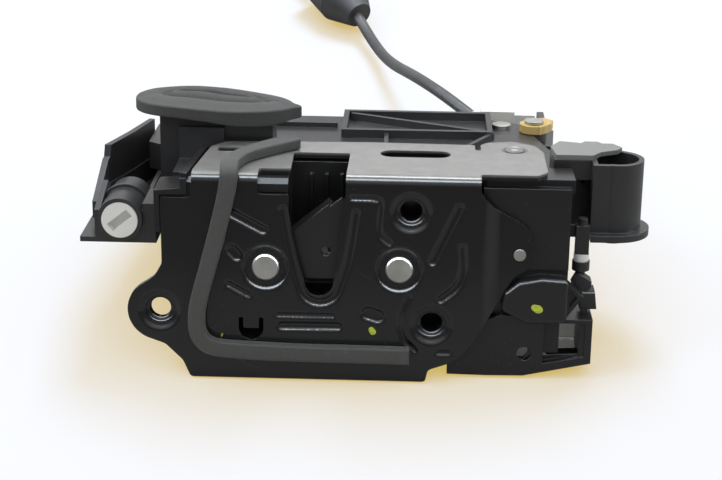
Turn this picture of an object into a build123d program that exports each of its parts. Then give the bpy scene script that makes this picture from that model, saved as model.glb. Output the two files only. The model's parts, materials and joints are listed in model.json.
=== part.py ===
from build123d import *
import os
from math import atan2, cos, degrees, hypot, pi, radians, sin, tan

# Vehicle door latch with its central-locking actuator.
#
# Latch axes while modelling: X runs along the latch, Y goes back from the outer face of the face plate,
# Z goes up the face plate from its lower edge, and X = 0 is the centre line of the striker slot.
# Each finished piece is then moved by STAND, which leans the latch back onto the lower edge of its face
# plate and the foot of its motor housing, with the origin under the middle of the standing latch.

os.makedirs("parts", exist_ok=True)

# ---------------------------------------------------------------- driving sizes, in mm and degrees
# Face plate: one steel pressing with a face, a top flange, an ear and a stepped tab
STEEL_T = 2.0
FACE_TOP = 73.0
FACE_LEFT = -44.0
FACE_RIGHT = 55.0
UPPER_RIGHT = 53.5
BEND_R, BEND_BACK = 3.2, 5.2
SHOULDER_LEFT, SHOULDER_TOP = -53.0, 64.5
EAR_X, EAR_Z, EAR_R = -54.1, 24.2, 11.0
TAB_STEP, TAB_RUN = 3.0, 5.9
FLANGE_DEPTH = 40.0
FLANGE_RIGHT = 76.0
SLOT_FLANGE_DEPTH = 27.5
SLOT_FOOT = 35.4
SLOT_FOOT_R = 4.8

# Lines and dishes pressed into the face, all with sloping sides
PRESS = 0.8
PRESS_SLOPE = 40.0
RIM_R = 6.4

# Fixing threads, M8, in drawn collars inside coned dimples
THREAD_R, THREAD_FROM = 3.4, 2.0
DIMPLE_R, DIMPLE_DEPTH, DIMPLE_SLOPE = 5.6, 1.0, 60.0
COLLAR_MOUTH_R = 5.0
COLLAR_R, COLLAR_END = 5.9, 8.6
COLLAR_ROOM_R = 7.0
UPPER_FIX = (30.6, 60.6)
LOWER_FIX = (38.2, 21.0)
EAR_FIX = (EAR_X, EAR_Z)
EAR_COLLAR_END = 5.0

# Pivots of the claw and the pawl
CLAW_AT = (-18.0, 40.4)
PAWL_AT = (27.0, 40.4)
PIN_R = 4.0
PIN_HEAD_R, PIN_HEAD_H = 4.6, 1.2
PIN_DISH_R, PIN_DISH_DEPTH = 7.1, 0.9
RUNNING_GAP = 0.05
SIDE_GAP = 0.3

# Layers behind the face, by depth
CORE_NEAR, CORE_FAR = 5.0, 11.0
JACKET_T = 0.9
CAVITY_FAR = 13.2
FLOOR_FAR = 15.6
BACK_PLATE_FAR = 17.6
PIN_TAIL_FAR = 18.8

# Claw, drawn open: its jaw points up and to the right across the striker slot
JAW_ANGLE = 39.5
JAW_FLANK = 2.4
MOUTH_W, MOUTH_FROM = 12.6, 9.6
JAW_TIP_R, NOTCH_R, TOOTH_R = 30.0, 21.5, 26.5
SKIN_TIP_R = 35.0
JACKET_HOLE, JACKET_HOLE_R = (2.1, 45.3), 1.6
TIP_TO = 30.0
FULL_NOTCH = (24.0, 11.0)
HALF_NOTCH = (5.0, -7.0)
HUB_R = 12.0
UPPER_TIP_R, UPPER_TIP_TO = 24.5, 108.0
CLAW_TURN = 72.0

# Pawl, drawn lifted clear of the claw, and the lever behind the back plate that lifts it
PAWL_NEAR, PAWL_FAR = 5.6, 10.4
PAWL_HUB_R = 7.6
PAWL_TURN = 10.0
STUD_R, STUD_REACH, STUD_ANGLE = 2.4, 14.0, 231.0
STUD_SLOT_GAP = 0.9
JOURNAL_R = 3.0
PAWL_LEVER_NEAR, PAWL_LEVER_FAR = 18.6, 20.6

# Springs, rivets, foam and the well behind the striker slot
SPRING_WIRE, POCKET_FAR = 1.3, 14.4
TAB_RIVET, FLANGE_RIVET, RIVET_R = (67.3, 45.8), (66.1, 35.9), 2.05
FOAM_W, FOAM_T = 6.0, 4.0
WELL_LEFT, WELL_RIGHT, WELL_FAR = -10.4, 10.0, 26.6
SIDE_FRONT = 5.0

# Actuator module behind the latch
MODULE_NEAR, MODULE_FAR = 24.0, 103.0
BASE_LOW, SPLIT, COVER_TOP = 46.0, 56.0, FACE_TOP - 7.0
WALL = 2.0
RIB_T = 1.6
BAY_WALL_TOP = 69.6
FOOT_LOW = 33.5
FOOT_LEFT, FOOT_RIGHT, FOOT_NEAR = -51.0, 34.0, 43.0

# Lock motor, its worm and the worm wheel
MOTOR_R, MOTOR_FLAT = 11.0, 8.6
MOTOR_Y, MOTOR_Z = 84.0, 47.5
MOTOR_FROM, MOTOR_TO = -47.0, -18.0
MOTOR_SHAFT_R = 1.15
WORM_R, WORM_ROOT_R = 3.6, 2.4
WORM_FROM, WORM_TO = -13.0, 5.0
WHEEL_R, WHEEL_TEETH = 17.0, 32
WHEEL_LOW, WHEEL_HIGH = 44.5, 50.5
WHEEL_X = -4.0
MESH_GAP = 0.35
CRANK_REACH, CRANK_R, CRANK_TOP, WHEEL_TURN = 11.0, 2.0, 55.6, 60.0
WHEEL_Y = MOTOR_Y - WORM_R - MESH_GAP - WHEEL_R
POST_R = 2.5
LOCK_AT, LOCK_LOW, LOCK_HIGH = (20.0, 40.0), 51.2, 53.6
LOCK_FORK_GAP, LOCK_ARM_W = 0.5, 9.6

# Side housing and the outside lever at the right of the face plate
SIDE_FAR = 22.0
PILLOW_NEAR, GUARD_NEAR = 0.6, 3.4
OUTSIDE_AT, OUTSIDE_PIN_R = (64.0, 15.0), 2.5
OUTSIDE_NEAR, OUTSIDE_FAR = 9.0, 11.4
TABLE_SLOPE = FOOT_LOW / (MODULE_FAR - STEEL_T)

# Emergency lock rotor at the left end
ROTOR_AT, ROTOR_R, BARREL_R = (-67.5, 54.6), 6.15, 7.6
ROTOR_NEAR, BARREL_FAR = 4.0, 30.0
COLLAR_W, COLLAR_SPAN = 1.2, (17.0, 19.0)

# Fixings between the parts of the module
BOSSES = [(-34.0, 51.0), (40.0, 51.0)]
SCREWS = [(-56.0, 92.0), (64.0, 90.0), (74.0, 50.0), (-44.0, 30.0)]
SCREW_R, SCREW_BOSS_R = 1.6, 3.6

# Key hood
HOOD_LOW, HOOD_TOP, HOOD_WALL = 48.8, 73.0, 1.8
KEY_AT, KEY_NUT_R = (100.5, 30.0), 4.2

# Connector tower and its foam ring
TOWER_LEFT, TOWER_RIGHT, TOWER_NEAR, TOWER_FAR, TOWER_TOP = -59.0, -19.0, 43.6, 61.0, 83.6
SOCKET_DEPTH = 20.0
RING_X, RING_Y, RING_LONG, RING_WIDE, RING_T, RING_TOP = -39.0, 50.0, 60.0, 35.0, 8.6, 86.0
PIN_HALF = 0.4
PINS = [((TOWER_LEFT + TOWER_RIGHT) / 2 + (column - 2.5) * 5.0, (TOWER_NEAR + TOWER_FAR) / 2 + row)
        for column in range(6) for row in (-3.0, 3.0)]
SWITCHES = [(-35.0, 34.0), (-23.0, 34.0)]

BOARD_LOW, BOARD_T = 51.0, 2.0
BUTTON_W, BUTTON_OUT = 1.4, 0.8

# Inner release lever and cable
INNER_AT, INNER_LOW, INNER_HIGH = (76.0, 86.0), COVER_TOP + 0.3, COVER_TOP + 3.3
CABLE_CORE_R, CABLE_R = 0.8, 2.3
GROMMET_R, GROMMET_LONG, SLEEVE_LONG = 12.0, 34.0, 4.5
SHELF_LOW = 56.6
CLIP_LEFT, CLIP_RIGHT, CLIP_Y, CLIP_Z = 54.0, 78.0, 113.0, 64.0


def front(depth):
    """The plane parallel to the face plate at a depth behind its outer face."""
    return Plane.XZ.offset(-depth)


def polar(radius, angle, centre=(0.0, 0.0)):
    """The point at a radius and an angle in degrees about a centre."""
    return (centre[0] + radius * cos(radians(angle)), centre[1] + radius * sin(radians(angle)))


def arc(radius, start, stop, centre=(0.0, 0.0), step=6.0):
    """Points along an arc, with both ends."""
    count = max(2, int(abs(stop - start) / step) + 1)
    return [polar(radius, start + (stop - start) * i / (count - 1), centre) for i in range(count)]


def outline_on(plane, points, corner):
    """A flat outline through points, with its corners rounded where a radius is given."""
    with BuildSketch(plane) as shape:
        with BuildLine():
            Polyline(*points, close=True)
        make_face()
        if corner:
            fillet(shape.vertices(), corner)
    return shape.sketch


def corner_at(shape, across, up):
    """The corner of a flat shape nearest to a point given in the shape's own plane."""
    return shape.vertices().sort_by(lambda v: hypot(v.X - across, v.Y - up))[0]


def slab(points, near, far, mode=Mode.ADD, corner=0.0):
    """An upright slab between two depths, drawn as seen from the front."""
    extrude(outline_on(front(far), points, corner), amount=far - near, mode=mode)


def tray(points, low, high, mode=Mode.ADD, corner=0.0):
    """A level slab between two heights, drawn as seen from above."""
    extrude(outline_on(Plane.XY.offset(low), points, corner), amount=high - low, mode=mode)


def gable(points, left, right, mode=Mode.ADD, corner=0.0):
    """A slab across the latch between two X positions, drawn in depth and height."""
    extrude(outline_on(Plane.YZ.offset(left), points, corner), amount=right - left, mode=mode)


def rod(x, z, radius, near, far, mode=Mode.ADD):
    """A round bar along Y."""
    with BuildSketch(front(far)) as disc:
        with Locations((x, z)):
            Circle(radius)
    extrude(disc.sketch, amount=far - near, mode=mode)


def post(x, y, radius, low, high, mode=Mode.ADD):
    """An upright round bar along Z."""
    with BuildSketch(Plane.XY.offset(low)) as disc:
        with Locations((x, y)):
            Circle(radius)
    extrude(disc.sketch, amount=high - low, mode=mode)


def axle(y, z, radius, left, right, mode=Mode.ADD):
    """A round bar along X."""
    with BuildSketch(Plane.YZ.offset(left)) as disc:
        with Locations((y, z)):
            Circle(radius)
    extrude(disc.sketch, amount=right - left, mode=mode)


def box(left, right, near, far, low, high, mode=Mode.ADD):
    """A square-cornered block between six planes."""
    with BuildSketch(Plane.XY.offset(low)) as foot:
        with Locations(((left + right) / 2, (near + far) / 2)):
            Rectangle(right - left, far - near)
    extrude(foot.sketch, amount=high - low, mode=mode)


def pressed(points, width, depth=PRESS):
    """Sinks a line with round ends and sloping sides into the face, its floor of a width, along points."""
    with BuildSketch(front(depth)) as line:
        for a, b in zip(points, points[1:]):
            length = hypot(b[0] - a[0], b[1] - a[1])
            with Locations(Location((a[0] / 2 + b[0] / 2, a[1] / 2 + b[1] / 2), atan_of(a, b))):
                Rectangle(length, width)
        with Locations(*points):
            Circle(width / 2)
    extrude(line.sketch, amount=depth, taper=-PRESS_SLOPE, mode=Mode.SUBTRACT)


def dish(x, z, radius, depth, slope):
    """Sinks a round dish with sloping sides into the face, its floor of a radius."""
    with BuildSketch(front(depth)) as floor:
        with Locations((x, z)):
            Circle(radius)
    extrude(floor.sketch, amount=depth, taper=-slope, mode=Mode.SUBTRACT)


def atan_of(a, b):
    """The direction from one point to another, in degrees."""
    return degrees(atan2(b[1] - a[1], b[0] - a[0]))


def strip(points, width):
    """The outline of a band of a width along a line of points, square ended."""
    left, right = [], []
    for i, point in enumerate(points):
        before = points[max(i - 1, 0)]
        after = points[min(i + 1, len(points) - 1)]
        heading = radians(atan_of(before, after))
        side_x, side_z = -sin(heading) * width / 2, cos(heading) * width / 2
        left.append((point[0] + side_x, point[1] + side_z))
        right.append((point[0] - side_x, point[1] - side_z))
    return left + right[::-1]


pieces = {}


def finish(name, part):
    """Labels a finished piece and keeps it to be stood up and written."""
    part.label = name
    pieces[name] = part


# ================================================================ the latch
# ---- face plate
MOUTH = [(-9.8, 80.0), (-9.9, 65.0), (-10.4, 61.5), (-9.2, 53.0), (-7.0, 43.0), (-SLOT_FOOT_R, SLOT_FOOT)]
MOUTH += arc(SLOT_FOOT_R, 180.0, 360.0, (0.0, SLOT_FOOT), 20.0)[1:-1]
MOUTH += [(SLOT_FOOT_R, SLOT_FOOT), (6.3, 46.0), (7.1, 56.0), (8.8, 67.0), (9.0, 80.0)]
BEND_LEFT, BEND_LOW = -42.5, FACE_TOP - BEND_BACK
FACE_OUTLINE = [
    (FACE_LEFT, 0.0), (36.5, 0.0), (37.4, 4.4), (44.5, 7.0), (48.7, 9.9), (52.9, 15.7), (FACE_RIGHT, 19.2),
    (FACE_RIGHT, FACE_TOP - 8.4), (UPPER_RIGHT, FACE_TOP - 6.0), (UPPER_RIGHT, BEND_LOW), (BEND_LEFT, BEND_LOW),
    (-43.2, SHOULDER_TOP), (SHOULDER_LEFT, SHOULDER_TOP), (SHOULDER_LEFT, 41.0), (-55.5, 36.5), (-60.0, 33.0),
    (-60.0, 15.6), (-52.5, 12.0), (-46.5, 6.0)]
TAB_LEFT = FACE_RIGHT + TAB_RUN
TAB_OUTLINE = [(TAB_LEFT - 1.4, 31.0), (65.5, 37.6), (69.7, 40.4), (72.2, 44.6), (72.5, 49.0), (70.6, 54.2),
               (66.6, 58.0), (TAB_LEFT - 1.4, 61.6)]
FLANGE_OUTLINE = [
    (BEND_LEFT, BEND_BACK), (UPPER_RIGHT, BEND_BACK), (72.5, BEND_BACK), (FLANGE_RIGHT, 9.5),
    (FLANGE_RIGHT, 33.5), (73.6, 41.5), (66.0, 46.4), (57.0, 44.6), (54.4, 41.5), (54.4, 34.5), (52.4, 34.5),
    (52.4, FLANGE_DEPTH + 1.0), (16.0, FLANGE_DEPTH + 2.0), (-10.0, FLANGE_DEPTH + 1.0), (-34.5, FLANGE_DEPTH),
    (-39.6, 33.0)]
# the groove that follows the striker slot, and the other lines pressed into the face, with their floors' widths
RIM_LINE = [(-12.2, 60.8), (-10.6, 52.0), (-8.4, 42.0)] + arc(RIM_R, 190.0, 350.0, (0.3, SLOT_FOOT - 0.8), 20.0)
RIM_LINE += [(9.4, 42.0), (10.9, 50.0), (12.3, 60.0)]
PRESSED_LINES = [
    (RIM_LINE, 1.2),
    ([(11.0, 65.4), (18.6, 65.2), (20.6, 63.4), (20.2, 56.0), (21.0, 52.2), (23.6, 49.8)], 0.6),
    ([(-29.4, 59.4), (-18.8, 53.7)], 1.6),
    ([(46.6, 62.6), (38.1, 43.7)], 1.4),
    ([(48.0, 48.6), (48.3, 40.4), (46.1, 34.6), (41.2, 30.2)], 1.2),
    ([(30.3, 30.6), (28.1, 26.2), (27.5, 20.8), (29.3, 15.3), (32.8, 11.7)], 0.6),
    ([(40.7, 10.8), (44.4, 10.9)], 0.6),
    ([(-13.9, 23.4), (4.8, 23.5)], 0.5),
    ([(-12.6, 19.4), (6.5, 19.6)], 1.4),
    ([(16.8, 24.6), (20.0, 23.6)], 3.2),
    ([(-30.5, 34.2), (-23.8, 30.4)], 0.8),
    ([(-29.2, 46.2), (-27.6, 44.4)], 2.4)]
# the window with the tongue that hangs in it
TONGUE_AT, TONGUE_W, TONGUE_LOW, WINDOW_R, WINDOW_TOP = -23.0, 5.4, 18.4, 4.2, 22.3

with BuildPart() as face_plate:
    slab(FACE_OUTLINE, 0.0, STEEL_T)
    rod(EAR_X, EAR_Z, EAR_R, 0.0, STEEL_T)
    tray(FLANGE_OUTLINE, FACE_TOP - STEEL_T, FACE_TOP)
    # the bend between the face and the flange
    with BuildSketch(Plane.YZ.offset(BEND_LEFT)) as elbow:
        with BuildLine():
            Polyline((0.0, BEND_LOW), (STEEL_T, BEND_LOW), (STEEL_T, FACE_TOP - STEEL_T),
                     (BEND_BACK, FACE_TOP - STEEL_T), (BEND_BACK, FACE_TOP), (0.0, FACE_TOP), close=True)
        make_face()
        fillet(corner_at(elbow, 0.0, FACE_TOP), BEND_R)
        fillet(corner_at(elbow, STEEL_T, FACE_TOP - STEEL_T), BEND_R - STEEL_T)
    extrude(elbow.sketch, amount=UPPER_RIGHT - BEND_LEFT)
    # the rounded step back to the tab, cut off below along the slope of the plate's edge
    with BuildSketch(Plane.XY.offset(18.0)) as joggle:
        with BuildLine():
            Polyline((FACE_RIGHT - 0.6, 0.0), (FACE_RIGHT + 0.6, 0.0), (TAB_LEFT - 0.6, TAB_STEP),
                     (TAB_LEFT, TAB_STEP), (TAB_LEFT, TAB_STEP + STEEL_T), (TAB_LEFT - 1.4, TAB_STEP + STEEL_T),
                     (FACE_RIGHT - 0.2, STEEL_T), (FACE_RIGHT - 0.6, STEEL_T), close=True)
        make_face()
    extrude(joggle.sketch, amount=FACE_TOP - 11.4 - 18.0)
    slab([(FACE_RIGHT - 0.8, 17.0), (TAB_LEFT + 0.5, 29.8), (TAB_LEFT + 0.5, 17.0)],
         -1.0, TAB_STEP + STEEL_T + 1.0, mode=Mode.SUBTRACT)
    slab(TAB_OUTLINE, TAB_STEP, TAB_STEP + STEEL_T)
    # collars of the three fixing threads
    for x, z in (UPPER_FIX, LOWER_FIX):
        rod(x, z, COLLAR_R, STEEL_T, COLLAR_END)
    rod(EAR_X, EAR_Z, COLLAR_R, STEEL_T, EAR_COLLAR_END)
    # the dishes round the two pivots stand out behind the face
    for x, z in (CLAW_AT, PAWL_AT):
        rod(x, z, PIN_DISH_R + 0.8, STEEL_T, STEEL_T + PIN_DISH_DEPTH)
        dish(x, z, PIN_DISH_R, PIN_DISH_DEPTH, PRESS_SLOPE)
        rod(x, z, PIN_R, 0.0, STEEL_T + PIN_DISH_DEPTH, mode=Mode.SUBTRACT)
    for points, width in PRESSED_LINES:
        pressed(points, width)
    # dimples and threads
    for x, z in (UPPER_FIX, LOWER_FIX, EAR_FIX):
        dish(x, z, DIMPLE_R, DIMPLE_DEPTH, DIMPLE_SLOPE)
        rod(x, z, COLLAR_MOUTH_R, 0.0, THREAD_FROM, mode=Mode.SUBTRACT)
        rod(x, z, THREAD_R, 0.0, COLLAR_END + 1.0, mode=Mode.SUBTRACT)
    # the striker slot through the face, the bend and the flange
    slab(MOUTH, 0.0, STEEL_T, mode=Mode.SUBTRACT)
    tray([(-9.9, -1.0), (9.0, -1.0), (9.2, SLOT_FLANGE_DEPTH), (-10.2, SLOT_FLANGE_DEPTH)],
         FACE_TOP - 2 * STEEL_T - BEND_R, FACE_TOP, mode=Mode.SUBTRACT)
    # the relief window in the bend beside the slot
    box(-20.5, -9.0, 0.0, 7.5, FACE_TOP - 6.8, FACE_TOP, mode=Mode.SUBTRACT)
    # the window with its tongue, and the flange openings
    box(TONGUE_AT - WINDOW_R, TONGUE_AT + WINDOW_R, 0.0, STEEL_T, TONGUE_LOW, WINDOW_TOP, mode=Mode.SUBTRACT)
    rod(TONGUE_AT, TONGUE_LOW, WINDOW_R, 0.0, STEEL_T, mode=Mode.SUBTRACT)
    box(TONGUE_AT - TONGUE_W / 2, TONGUE_AT + TONGUE_W / 2, 0.0, STEEL_T, TONGUE_LOW, WINDOW_TOP + 0.5)
    tray([(19.6, 24.0), (43.7, 24.0), (43.7, 32.4), (19.6, 32.4)], FACE_TOP - STEEL_T, FACE_TOP,
         mode=Mode.SUBTRACT, corner=4.1)
    tray([(-36.8, 27.4), (-26.8, 27.4), (-26.8, 32.0), (-36.8, 32.0)], FACE_TOP - STEEL_T, FACE_TOP,
         mode=Mode.SUBTRACT, corner=0.8)
    post(*FLANGE_RIVET, RIVET_R + 2.4, FACE_TOP - 0.9, FACE_TOP, mode=Mode.SUBTRACT)
    post(*FLANGE_RIVET, RIVET_R, FACE_TOP - STEEL_T, FACE_TOP, mode=Mode.SUBTRACT)
    rod(*TAB_RIVET, RIVET_R, TAB_STEP, TAB_STEP + STEEL_T, mode=Mode.SUBTRACT)
finish("face_plate", face_plate.part)

# ---- pivots and rivets
with BuildPart() as claw_pin:
    rod(*CLAW_AT, PIN_HEAD_R, PIN_DISH_DEPTH - PIN_HEAD_H, PIN_DISH_DEPTH)
    rod(*CLAW_AT, PIN_R, PIN_DISH_DEPTH, BACK_PLATE_FAR)
    rod(*CLAW_AT, PIN_R + 1.6, BACK_PLATE_FAR, PIN_TAIL_FAR)
    chamfer(claw_pin.faces().sort_by(Axis.Y)[0].edges(), 0.5)
finish("claw_pin", claw_pin.part)

with BuildPart() as pawl_pin:
    rod(*PAWL_AT, PIN_HEAD_R, PIN_DISH_DEPTH - PIN_HEAD_H, PIN_DISH_DEPTH)
    rod(*PAWL_AT, PIN_R, PIN_DISH_DEPTH, BACK_PLATE_FAR)
    rod(*PAWL_AT, PIN_R + 1.4, BACK_PLATE_FAR, PAWL_LEVER_NEAR - SIDE_GAP)
    rod(*PAWL_AT, JOURNAL_R, PAWL_LEVER_NEAR - SIDE_GAP, PAWL_LEVER_FAR + SIDE_GAP)
    rod(*PAWL_AT, PIN_R, PAWL_LEVER_FAR + SIDE_GAP, PAWL_LEVER_FAR + 1.2)
    chamfer(pawl_pin.faces().sort_by(Axis.Y)[0].edges(), 0.5)
finish("pawl_pin", pawl_pin.part)

with BuildPart() as tab_rivet:
    rod(*TAB_RIVET, RIVET_R, TAB_STEP - 0.4, SIDE_FRONT + 4.0)
finish("tab_rivet", tab_rivet.part)

with BuildPart() as flange_rivet:
    post(*FLANGE_RIVET, RIVET_R, COVER_TOP, FACE_TOP)
    post(*FLANGE_RIVET, RIVET_R + 1.0, FACE_TOP - 0.9, FACE_TOP - 0.1)
finish("flange_rivet", flange_rivet.part)


# ---- claw: steel core and its plastic jacket
def claw_point(along, across):
    """A point of the claw along and across its jaw direction, measured from its pivot."""
    x = CLAW_AT[0] + along * cos(radians(JAW_ANGLE)) - across * sin(radians(JAW_ANGLE))
    z = CLAW_AT[1] + along * sin(radians(JAW_ANGLE)) + across * cos(radians(JAW_ANGLE))
    return (x, z)


def claw_outline(grow):
    """The claw's edge grown outward by a distance, so its mouth grows narrower by the same distance."""
    low_flank = JAW_FLANK + grow
    high_flank = JAW_FLANK + MOUTH_W - grow
    foot_line = CLAW_AT[1] - SLOT_FOOT - grow
    tooth_r = TOOTH_R + grow
    foot_angle = -degrees(atan2(foot_line, (tooth_r ** 2 - foot_line ** 2) ** 0.5))
    hub_angle = -degrees(atan2(foot_line, ((HUB_R + grow) ** 2 - foot_line ** 2) ** 0.5))
    tip_x = (JAW_TIP_R ** 2 - low_flank ** 2) ** 0.5
    upper_x = (UPPER_TIP_R ** 2 - high_flank ** 2) ** 0.5
    upper_angle = JAW_ANGLE + degrees(atan2(high_flank, upper_x))
    points = [claw_point(MOUTH_FROM + grow, low_flank), claw_point(tip_x, low_flank)]
    points += arc(JAW_TIP_R, JAW_ANGLE - 1.0, TIP_TO, CLAW_AT)
    points += arc(TOOTH_R, TIP_TO - 1.0, FULL_NOTCH[0], CLAW_AT)
    points += arc(NOTCH_R, FULL_NOTCH[0] - 1.0, FULL_NOTCH[1], CLAW_AT)
    points += arc(TOOTH_R, FULL_NOTCH[1], HALF_NOTCH[0], CLAW_AT)
    points += arc(NOTCH_R, HALF_NOTCH[0] - 1.0, HALF_NOTCH[1], CLAW_AT)
    points += [polar(tooth_r, HALF_NOTCH[1], CLAW_AT), polar(tooth_r, foot_angle, CLAW_AT)]
    points += arc(HUB_R + grow, hub_angle, -(360.0 - UPPER_TIP_TO - 38.0), CLAW_AT, 15.0)
    points += arc(UPPER_TIP_R + grow, UPPER_TIP_TO, upper_angle, CLAW_AT, 9.0)
    points += [claw_point(MOUTH_FROM + grow, high_flank)]
    return points


def skin_outline():
    """The edge of the jacket's front skin, which reaches past the teeth and the notches and covers them."""
    tip_x = (SKIN_TIP_R ** 2 - JAW_FLANK ** 2) ** 0.5
    outline = claw_outline(0.0)
    points = [outline[0], claw_point(tip_x, JAW_FLANK)]
    points += arc(SKIN_TIP_R, JAW_ANGLE, TIP_TO + 3.0, CLAW_AT)
    points += arc(TOOTH_R, FULL_NOTCH[0] - 2.0, HALF_NOTCH[1], CLAW_AT)
    return points + outline[outline.index(polar(TOOTH_R, HALF_NOTCH[1], CLAW_AT)) + 1:]


with BuildPart() as claw:
    slab(claw_outline(0.0), CORE_NEAR, CORE_FAR)
    rod(*CLAW_AT, PIN_R + RUNNING_GAP, CORE_NEAR, CORE_FAR, mode=Mode.SUBTRACT)
finish("claw", claw.part)

with BuildPart() as claw_jacket:
    slab(skin_outline(), CORE_NEAR - JACKET_T, CORE_NEAR)
    slab(claw_outline(0.0), CORE_FAR, CORE_FAR + JACKET_T)
    slab(claw_outline(JACKET_T), CORE_NEAR - JACKET_T, CORE_FAR + JACKET_T)
    slab(claw_outline(0.0), CORE_NEAR, CORE_FAR, mode=Mode.SUBTRACT)
    rod(*CLAW_AT, PIN_R + RUNNING_GAP, CORE_NEAR - JACKET_T, CORE_FAR + JACKET_T, mode=Mode.SUBTRACT)
    # the teeth stay bare steel
    teeth = [polar(NOTCH_R - 1.0, HALF_NOTCH[1] - 0.01, CLAW_AT), polar(NOTCH_R - 1.0, TIP_TO, CLAW_AT),
             polar(JAW_TIP_R + 3.0, TIP_TO, CLAW_AT), polar(JAW_TIP_R + 3.0, HALF_NOTCH[1] - 0.01, CLAW_AT)]
    slab(teeth, CORE_NEAR, CORE_FAR, mode=Mode.SUBTRACT)
    # the moulding's locating hole over the lower jaw
    rod(*JACKET_HOLE, JACKET_HOLE_R, CORE_NEAR - JACKET_T, CORE_NEAR, mode=Mode.SUBTRACT)
finish("claw_jacket", claw_jacket.part)

# ---- pawl, turned from its engaged place to its lifted rest, and the lever riveted to its stud
PAWL_ENGAGED = [polar(22.2, -60.4, CLAW_AT), polar(22.2, -51.6, CLAW_AT), polar(28.3, -52.2, CLAW_AT),
                polar(28.6, -45.5, CLAW_AT), polar(31.4, -42.0, CLAW_AT), polar(31.6, -34.0, CLAW_AT),
                polar(32.2, -25.0, CLAW_AT), (19.4, 41.4), (33.8, 37.0), (26.5, 28.0), (9.5, 11.8), (3.8, 10.2),
                polar(34.0, -61.2, CLAW_AT)]


def lifted(point):
    """A point of the engaged pawl once the pawl is turned clear of the claw."""
    reach = hypot(point[0] - PAWL_AT[0], point[1] - PAWL_AT[1])
    return polar(reach, atan_of(PAWL_AT, point) + PAWL_TURN, PAWL_AT)


STUD_AT = lifted(polar(STUD_REACH, STUD_ANGLE, PAWL_AT))

with BuildPart() as pawl:
    slab([lifted(p) for p in PAWL_ENGAGED], PAWL_NEAR, PAWL_FAR)
    rod(*PAWL_AT, PAWL_HUB_R, PAWL_NEAR, PAWL_FAR)
    rod(*STUD_AT, STUD_R, PAWL_FAR, PAWL_LEVER_FAR + 0.4)
    rod(*PAWL_AT, PIN_R + RUNNING_GAP, PAWL_NEAR, PAWL_FAR, mode=Mode.SUBTRACT)
finish("pawl", pawl.part)

with BuildPart() as pawl_lever:
    rod(*PAWL_AT, 7.0, PAWL_LEVER_NEAR, PAWL_LEVER_FAR)
    rod(*STUD_AT, 4.6, PAWL_LEVER_NEAR, PAWL_LEVER_FAR)
    slab([(19.8, 40.4), (34.2, 40.4), polar(4.6, -10.0, STUD_AT), polar(4.6, 160.0, STUD_AT)],
         PAWL_LEVER_NEAR, PAWL_LEVER_FAR)
    slab([(27.0, 46.0), (50.0, 37.6), (54.2, 33.8), (53.4, 31.2), (48.0, 32.0), (29.0, 34.0)],
         PAWL_LEVER_NEAR, PAWL_LEVER_FAR)
    rod(*PAWL_AT, JOURNAL_R + RUNNING_GAP, PAWL_LEVER_NEAR, PAWL_LEVER_FAR, mode=Mode.SUBTRACT)
    rod(*STUD_AT, STUD_R, PAWL_LEVER_NEAR, PAWL_LEVER_FAR, mode=Mode.SUBTRACT)
finish("pawl_lever", pawl_lever.part)


# ---- springs: one flat coil each, with two legs
def coil(centre, radius, wire, gap_angle, legs):
    """An open ring of square wire with straight legs running out from its two ends."""
    ring = arc(radius + wire / 2, gap_angle, gap_angle + 318.0, centre, 14.0)
    ring += arc(radius - wire / 2, gap_angle + 318.0, gap_angle, centre, 14.0)
    return [ring] + [strip([polar(radius, a, centre), polar(reach, b, centre)], wire) for a, b, reach in legs]


with BuildPart() as claw_spring:
    for shape in coil(CLAW_AT, 6.4, SPRING_WIRE, 200.0, [(200.0, 186.0, 11.4), (518.0, 176.0, 10.6)]):
        slab(shape, POCKET_FAR - SPRING_WIRE, POCKET_FAR)
finish("claw_spring", claw_spring.part)

with BuildPart() as pawl_spring:
    for shape in coil(PAWL_AT, 6.4, SPRING_WIRE, 60.0, [(60.0, 72.0, 11.4), (378.0, 4.0, 11.0)]):
        slab(shape, POCKET_FAR - SPRING_WIRE, POCKET_FAR)
finish("pawl_spring", pawl_spring.part)

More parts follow.
